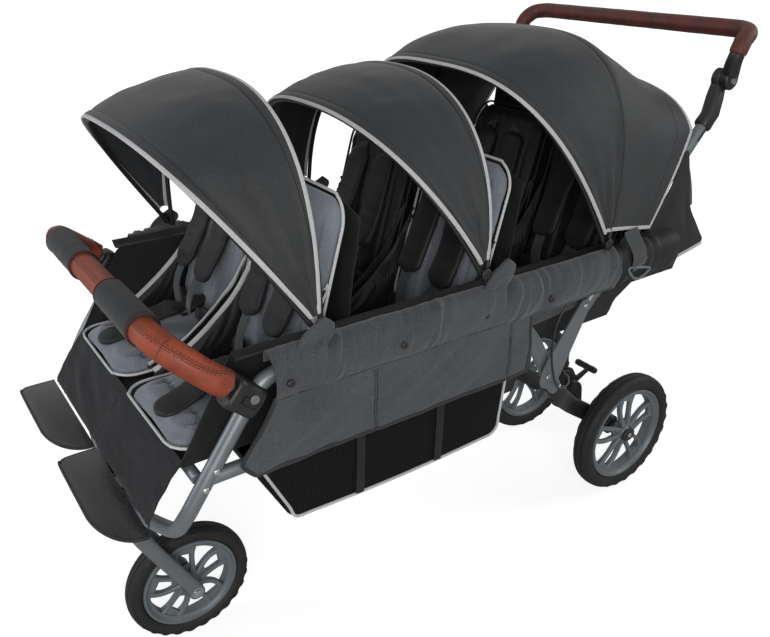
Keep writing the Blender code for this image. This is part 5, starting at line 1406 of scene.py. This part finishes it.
# Seat wings: each pad has a black wing at either side, sewn to the seat and to the back, whose
# free edge slopes up from the front. Light grey tape binds it on the front row, elastic elsewhere.
WING_EDGE = [(-0.172, 0.590), (-0.140, 0.603), (-0.104, 0.6190), (-0.062, 0.650), (-0.020, 0.6880), (0.010, 0.728),
             (0.037, 0.772)]
for row, back in ROW_BACKS.items():
    for side, sign in SIDES.items():
        for place_name, x, drift in (("inner", 0.0115, 0.006), ("outer", 0.2405, -0.004)):
            edge_line = even_path([place(sign * x, back + s, z) for s, z in WING_EDGE], 61)

            def wing_point(share, down):
                """A point of a wing, from its sloping free edge down to where it is sewn on."""
                foot_z = 0.5800 + 0.150 * max(0.0, share - 0.72) / 0.28 * 1.2
                foot_s = back - 0.172 + 0.144 * min(1.0, share / 0.72) + (foot_z - 0.5800) * 0.287
                slack = math.sin(math.pi * down) * math.sin(math.pi * share)
                ruck = 0.0040 * ripple(share * 9 + down * 3, down * 2.2, back * 9 + sign + x * 30)
                if row != "front":
                    ruck += 0.0028 * math.sin(share * 190) * (1 - down) ** 2
                out = ruck * (0.35 + slack) + 0.008 * slack * (1 if x < 0.1 else -1)
                point = edge_line[round(share * 60)].lerp(place(sign * (x + drift), foot_s, foot_z), down)
                return point + Vector((sign * out, 0, ruck * 0.2))

            grid = cloth_grid(61, 17, wing_point)
            wing = fit(f"{row}_seat_wing_{place_name}_{side}", cloth_skin(grid, 0.0018), BLACK_CLOTH, "frame", sharp=70)
            tape = fit(f"{row}_seat_wing_binding_{place_name}_{side}",
                       binding([line[0] for line in grid], 0.0042, 0.0019, [line[2] - line[0] for line in grid]),
                       PIPING if row == "front" else BLACK_CLOTH, "frame", sharp=60)
            declare(grid, lies_flat=True)


# Seat liner: a black sling hangs from the rails under all six seats, drops to a footwell behind
# each row, and rises at both sides as tub walls. In front a leg rest of twill covers the shins.
SLING_X, LINER_X, LINER_TOP, LINER_LEVEL = 0.2465, 0.2474, 0.714, 0.5575
LINER_THICK = 0.0022
wells = [(-0.121, 0.4745), (-0.067, LINER_LEVEL)]
for back, behind in ((ROW_BACKS["front"], ROW_BACKS["middle"]), (ROW_BACKS["middle"], ROW_BACKS["rear"])):
    begins = behind - 0.215
    wells += [(back + 0.004, LINER_LEVEL), (back + 0.018, 0.4665), (begins - 0.024, 0.4665),
              (begins - 0.010, LINER_LEVEL)]
wells += [(0.826, LINER_LEVEL), (0.866, 0.640), (0.8905, 0.690)]


def polyline(points, spacing):
    """Points along straight stretches, about a spacing apart."""
    fine = []
    for (a, b), (c, d) in zip(points, points[1:]):
        count = max(2, int(math.hypot(c - a, d - b) / spacing))
        fine += [(a + (c - a) * k / count, b + (d - b) * k / count) for k in range(count)]
    return fine + [points[-1]]


floor_line = polyline(wells[1:], 0.007)
grid = []
for s, z in floor_line:
    line = []
    for j in range(53):
        x = SLING_X * (j / 26 - 1)
        ruck = 0.0020 * ripple(x * 22, s * 22, z * 22)
        ruck += 0.0010 * ripple(x * 60, s * 50, z * 50)
        line.append(place(x, s, z + ruck - 0.001))
    grid.append(line)
sling = fit("seat_liner_floor", cloth_skin(grid, LINER_THICK), BLACK_CLOTH, "frame", ["seat_sling"], 70)
declare(grid)


def floor_height(s):
    """The height of the liner's floor at a station."""
    for (a, b), (c, d) in zip(wells, wells[1:]):
        if a <= s <= c:
            return b + (d - b) * (s - a) / (c - a)
    return LINER_LEVEL


for side, sign in SIDES.items():
    def wall_point(share, up):
        """A point of a tub wall, from the floor up to the roll."""
        s = -0.060 + (0.945 + 0.060) * share
        top = LINER_TOP if s > 0.030 else 0.5620 + (LINER_TOP - 0.5620) * max(0.0, (s + 0.060) / 0.090)
        low = floor_height(s) - 0.002 if s < 0.84 else 0.584 + (0.645 - 0.584) * (s - 0.84) / 0.105
        z = low + (top - low) * up
        ruck = 0.0016 * ripple(s * 14, z * 14, sign * 4)
        ruck += 0.0010 * ripple(s * 44, z * 30, 8)
        return place(sign * (LINER_X + ruck * math.sin(math.pi * up)), s, z)

    grid = cloth_grid(141, 31, wall_point)
    wall = fit(f"seat_liner_wall_{side}", cloth_skin(grid, LINER_THICK), BLACK_CLOTH, "frame", sharp=70)
    declare(grid, lies_flat=True)

    def apron_point(share, up):
        """A point of the twill drop outside the tub, behind the skirt."""
        s, low = 0.520 + 0.270 * share, 0.5860 + 0.020 * share
        ruck = 0.0034 * ripple(s * 20 + up * 3, up * 2.5, 4 * sign)
        ruck += 0.0012 * ripple(s * 60, up * 7, 3)
        return place(sign * (0.2500 + 0.0018 + (0.010 + ruck) * math.sin(math.pi * up)), s, low + (0.7000 - low) * up)

    outer = cloth_grid(81, 25, apron_point)
    apron = fit(f"rear_side_cloth_{side}", cloth_skin(outer, 0.0020), SIDE_TWILL_PAINTED_LIGHT, "frame", sharp=70)
    declare(outer)

    def bridge_point(share, out):
        """A point of the strip that joins the tub wall's top to the roll."""
        s = 0.030 + 0.915 * share
        slack = 0.0020 * ripple(s * 30, out * 3, 2 + sign) - 0.007 * math.sin(math.pi * out)
        return place(sign * (LINER_X + (0.2790 - LINER_X) * out), s,
                     LINER_TOP + (0.7185 - LINER_TOP) * out + slack * math.sin(math.pi * out))

    hang = cloth_grid(141, 13, bridge_point)
    bridge = fit(f"seat_liner_edge_{side}", cloth_skin(hang, 0.0020), BLACK_CLOTH, "frame", sharp=70)
    declare(hang)

    def shin_point(down, over):
        """A point of a leg rest. Its hem is sewn in behind the hinge line, where the raised board clears it."""
        bow = 0.004 * math.sin(math.pi * down)
        pull = ripple((over + down * 0.9) * 3.2, (over - down) * 0.9, 3 + sign)
        drag = 0.0055 * pull * math.sin(math.pi * down) ** 0.6 * math.sin(math.pi * over) ** 0.4
        gather = 0.0026 * math.sin(over * 95 + 3 * ripple(over * 5, down * 2, 1)) * down ** 5
        ruck = 0.0012 * ripple(over * 6, down * 6, 3 + sign)
        ruck += gather * (math.exp(-((over / 0.16) ** 2)) + math.exp(-(((1 - over) / 0.22) ** 2)))
        hem = down ** 12
        ruck *= 1 - 0.6 * hem
        s = -0.058 - (0.121 - 0.058) * down - bow - drag * 0.8 - ruck + 0.0042 * hem
        z = 0.5660 - (0.5660 - 0.4760) * down + (drag + ruck) * 0.5
        return place(sign * (0.0008 + (0.2480 - 0.0008) * over), s, z)

    shin = cloth_grid(41, 41, shin_point)
    rest_cloth = fit(f"leg_rest_{side}", cloth_skin(shin, LINER_THICK), BLACK_TWILL, "frame",
                     sharp=70)
    declare(shin)

for row, back in ROW_BACKS.items():
    foot_s, foot_z = (back + 0.020, 0.4675) if row != "rear" else (0.868, 0.645)
    head = pad_line(back)[-1]

    def back_point(up, share):
        """A point of a backrest's cover, from the footwell up to the pads' heads."""
        x = (share * 2 - 1) * 0.2440
        rise = Vector((0, head.y + 0.010, head.z - 0.012 - 0.020 * max(0, abs(abs(x) - 0.127) - 0.06) / 0.06))
        point = place(0, foot_s, foot_z).lerp(rise, up)
        fold = 0.0085 * ripple(x * 15 + up * 1.5, up * 2.2, back * 7) * math.sin(math.pi * up) ** 0.6
        fold += 0.0050 * ripple(x * 42 + up * 5, up * 6, back * 3) * (1 - up) ** 0.5
        return Vector((x, point.y + 0.006 + abs(fold) * 1.1, point.z))

    grid = cloth_grid(61, 73, back_point)
    rear_cover = fit(f"{row}_backrest_cover", cloth_skin(grid, 0.0020), BLACK_CLOTH, "frame", sharp=75)
    declare(grid)


def rear_wall_point(up, share):
    """A point of the wall behind the last row."""
    over = share * 2 - 1
    ruck = 0.0040 * ripple(over * 4, up * 3, 6) + 0.0015 * ripple(over * 12, up * 9, 3)
    return place(over * 0.2448, 0.9155 + 0.031 * up + ruck, 0.6750 + 0.255 * up)


grid = cloth_grid(41, 61, rear_wall_point)
wall = fit("rear_wall_cloth", cloth_skin(grid, 0.0024), BLACK_CLOTH, "frame", ["rear_wall"], 70)
declare(grid)


# Basket: a tray of black spacer mesh hangs between the lower rails, with sloping ends, seams of
# webbing down its sides and a piped edge. Its ribs are knitted in.
def mesh_cloth(name, gap=0.0040):
    """Knitted mesh: open lines run up the cloth 4 mm apart, with rows of small holes between."""
    mat, tree, shader, spot = coated(name, "#101112", 0.75, 0.0, 0.12)
    shader.inputs["Sheen Weight"].default_value = 0.0
    split = add(tree, "ShaderNodeSeparateXYZ", {"Vector": (spot, "Object")})
    level = calc(tree, "ADD", (split, "X"), (split, "Y"))
    wave = calc(tree, "SINE", (calc(tree, "MULTIPLY", (level, "Value"), 2 * math.pi / gap), "Value"))
    steps = calc(tree, "SINE", (calc(tree, "MULTIPLY", (split, "Z"), 2 * math.pi / gap), "Value"))
    holes = calc(tree, "MULTIPLY_ADD", (steps, "Value"), 0.35, (wave, "Value"))
    tint(tree, shader, (remap(tree, (holes, "Value"), -0.6, 1.1), "Result"), "#050506", "#151719")
    relief(tree, shader, 0.6, 0.0006, (holes, "Value"))
    return mat


MESH = mesh_cloth("black_spacer_mesh")
BASKET_X, BASKET_MIDDLE, BASKET_FLOOR, BASKET_CORNER = 0.2742, 0.311, 0.4075, 0.016
MESH_THICK = 0.0018


def basket_edge(up):
    """Where the sloping ends of the basket stand at a height, as stations."""
    return 0.094 - 0.060 * up, 0.528 + 0.017 * up


rings = []
for up in (k / 24 for k in range(25)):
    front, rear = basket_edge(up)
    z = 0.4115 + 0.125 * up
    ring = []
    corner = BASKET_CORNER
    half = [(BASKET_X, front + corner + (rear - front - 2 * corner) * k / 60) for k in range(61)]
    bend = [(BASKET_X - corner * (1 - math.cos(a)), rear - corner + corner * math.sin(a)) for a in (0.5, 1.05)]
    half += bend + [(BASKET_X - corner, rear)] + [(BASKET_X * (1 - k / 20), rear) for k in range(1, 40)]
    half += [(corner - BASKET_X, rear)] + [(-x, s) for x, s in reversed(bend)]
    path = half + [(-x, front + rear - s) for x, s in half]
    sag = math.sin(math.pi * up)
    for x, s in path:
        belly = 0.0030 * sag * (0.5 + ripple(x * 6, s * 7, 2.0))
        droop = -0.0075 * (1 - up) ** 2 * math.sin(math.pi * min(1, max(0, (s - front) / (rear - front)))) ** 0.8
        out = Vector((math.copysign(1, x) if abs(x) > BASKET_X - 0.001 else 0, 0, 0))
        ring.append(place(x, s, z + droop) + out * (belly - 0.001))
    rings.append(ring)
grid = [ring + ring[:1] for ring in rings]
bm = bmesh.new()
outer = [[bm.verts.new(p) for p in ring] for ring in rings]
inner = []
for ring in rings:
    lift = Vector((0, 0, 0 if inner else MESH_THICK))
    inner.append([bm.verts.new(p + (Vector((-p.x, (FRONT_AXLE_Y + BASKET_MIDDLE - p.y) * 0.5, 0)).normalized() *
                                    MESH_THICK + lift)) for p in ring])
around = [(i, (i + 1) % len(rings[0])) for i in range(len(rings[0]))]
for layer in (outer, inner):
    for first, second in zip(layer, layer[1:]):
        for i, j in around:
            bm.faces.new((first[i], first[j], second[j], second[i]))
for i, j in around:
    bm.faces.new((outer[-1][i], outer[-1][j], inner[-1][j], inner[-1][i]))
for layer, drop in ((outer, 0.0), (inner, MESH_THICK)):
    hub = bm.verts.new(place(0, BASKET_MIDDLE, BASKET_FLOOR + drop))
    half_way = [bm.verts.new(place(v.co.x * 0.55, BASKET_MIDDLE + (v.co.y - FRONT_AXLE_Y - BASKET_MIDDLE) * 0.55,
                                   BASKET_FLOOR + (v.co.z - BASKET_FLOOR) * 0.35 + drop * 0.5)) for v in layer[0]]
    for i, j in around:
        bm.faces.new((layer[0][i], layer[0][j], half_way[j], half_way[i]))
        bm.faces.new((half_way[i], half_way[j], hub))
basket = fit("basket_mesh", bm, MESH, "frame", ["basket"], 70)
trims = bmesh.new()
for sign in (1, -1):
    bottom = [p for p in rings[0] if p.x * sign > BASKET_X - 0.004]
    bottom.sort(key=lambda p: p.y)
    sides = [[p for p in ring if p.x * sign > BASKET_X - 0.004] for ring in rings]
    front_side = [min(points, key=lambda p: p.y) for points in reversed(sides)]
    rear_side = [max(points, key=lambda p: p.y) for points in sides]
    edge_line = [p + Vector((sign * 0.0012, 0, 0)) for p in front_side[:-1] + bottom + rear_side[1:]]
    tube(even_path(edge_line[::4] + [edge_line[-1]], 150), 0.0026, sides=10, bm=trims)
fit("basket_piping", trims, TAPE, "frame", sharp=80)
webs = bmesh.new()
for sign in (1, -1):
    for s in (0.220, 0.381):
        rising = [place(sign * (BASKET_X + 0.0022 + 0.0012 * math.sin(math.pi * up)), s + 0.004 * up,
                        0.4060 + 0.130 * up) for up in (k / 16 for k in range(17))]
        strap(rising, 0.0080, 0.0009, (0, 1, 0), bm=webs)
    top = [place(sign * (BASKET_X + 0.0015), 0.040 + 0.500 * k / 40, 0.5330) for k in range(41)]
    strap(top, 0.0045, 0.0014, (0, 0, 1), bm=webs)
fit("basket_webbing", webs, BLACK_TWILL, "frame", sharp=60)


# Footrests: stiff boards covered in wipe-clean black cloth, bound at the edge and hinged on the
# leg rest, each with one large rounded corner.
BOARD = moulded("wipe_clean_black_board", "#141517", "#26282b", 0.24, grain=0.0060, depth=0.00050, patch=0.030,
                specular=0.5)
HINGE, TOE, BOARD_MIDDLE = -0.1214, -0.182, 0.4725
for side, sign in SIDES.items():
    far, near = (0.006, 0.262) if sign > 0 else (-0.262, -0.006)
    back, front = HINGE, TOE
    outline = [(near, back), (far, back), (far, front + 0.014), (far + 0.006, front + 0.004), (far + 0.018, front)]
    for i in range(25):
        a = math.pi / 2 * i / 24
        outline.append((near - 0.100 + 0.100 * math.sin(a), front + (back - front) * 0.94 * (1 - math.cos(a))))
    middle = (sum(x for x, _ in outline) / len(outline), sum(s for _, s in outline) / len(outline))
    rings = []
    for shrink, z in ((0.97, 0.4694), (0.995, 0.4700), (1.0, 0.4712), (1.0, 0.4738), (0.995, 0.4750), (0.97, 0.4756)):
        narrow = 1 - (1 - shrink) * 0.6
        rings.append([place(middle[0] + (x - middle[0]) * narrow,
                            back if abs(s - back) < 1e-9 else middle[1] + (s - middle[1]) * shrink, z)
                      for x, s in outline])
    fit(f"footrest_board_{side}", loft(rings), BOARD, f"foot_{side}", [f"footrest_{side}"])
    edge = even_path([place(x, s, BOARD_MIDDLE) for x, s in outline[1:] + [(near, back)]], 140)
    fit(f"footrest_binding_{side}", tube(edge, 0.0031, sides=10), BLACK_CLOTH, f"foot_{side}")


# Rear curtain: a black drop of lining hangs behind the last row, with a bound wing at each side
# outside the handle, and a strap with a ring ties the rear canopy down.
for side, sign in SIDES.items():
    top_edge = even_path(placed([
        (0.2860, 0.862, 0.741), (0.2850, 0.914, 0.812), (0.2830, 0.946, 0.874), (0.2810, 0.966, 0.838),
        (0.2790, 0.990, 0.762), (0.2760, 1.026, 0.716), (0.2750, 1.057, 0.678)], sign), 61)
    low_edge = even_path(placed([
        (0.2870, 0.874, 0.718), (0.2850, 0.926, 0.684), (0.2820, 0.968, 0.659), (0.2790, 1.000, 0.658),
        (0.2750, 1.058, 0.665)], sign), 61)
    grid = []
    for i in range(31):
        waves = [0.0030 * ripple(k / 14, i / 11, sign) * math.sin(math.pi * i / 30) for k in range(61)]
        grid.append([top_edge[k].lerp(low_edge[k], i / 30) + Vector((waves[k], 0, 0)) for k in range(61)])
    wing = fit(f"rear_wing_{side}", cloth_skin(grid, 0.0018), BLACK_CLOTH, "frame", sharp=70)
    edges = bmesh.new()
    binding(low_edge, 0.0038, 0.0019, [a - b for a, b in zip(grid[-6], grid[-1])], edges)
    tape = fit(f"rear_wing_binding_{side}", edges, TAPE, "frame", sharp=60)
    declare(grid, lies_flat=True)

    band = even_path(placed([(0.2950, 0.801, 0.752), (0.3010, 0.803, 0.738), (0.3150, 0.806, 0.718),
                             (0.3172, 0.810, 0.694), (0.3150, 0.813, 0.682)], sign), 30)
    tie = bmesh.new()
    strap(band, 0.0190, 0.0011, (0, 1, 0), bm=tie)
    strap(band[22:26], 0.0195, 0.0022, (0, 1, 0), bm=tie)
    pull_tab = even_path(placed([(0.2700, 0.950, 0.868), (0.2730, 0.972, 0.824), (0.2740, 0.985, 0.790),
                                 (0.2740, 0.995, 0.756)], sign), 30)
    strap(pull_tab, 0.0110, 0.0016, (0, 1, 0), bm=tie)
    fit(f"rear_canopy_strap_{side}", tie, WEBBING, "frame", sharp=60)
    ring_points = placed([(0.3160, s, z) for s, z in (
        (0.786, 0.688), (0.840, 0.676), (0.838, 0.669), (0.822, 0.661), (0.812, 0.660), (0.798, 0.666),
        (0.784, 0.682))], sign)
    loop_line = even_path(ring_points + ring_points[:1], 60)
    fit(f"rear_strap_ring_{side}", tube(loop_line, 0.0026, sides=10), GREY_NYLON, "frame")

for stamp in [o for o in bpy.data.objects if o.name.endswith("_stamp")]:
    bpy.data.objects.remove(stamp)
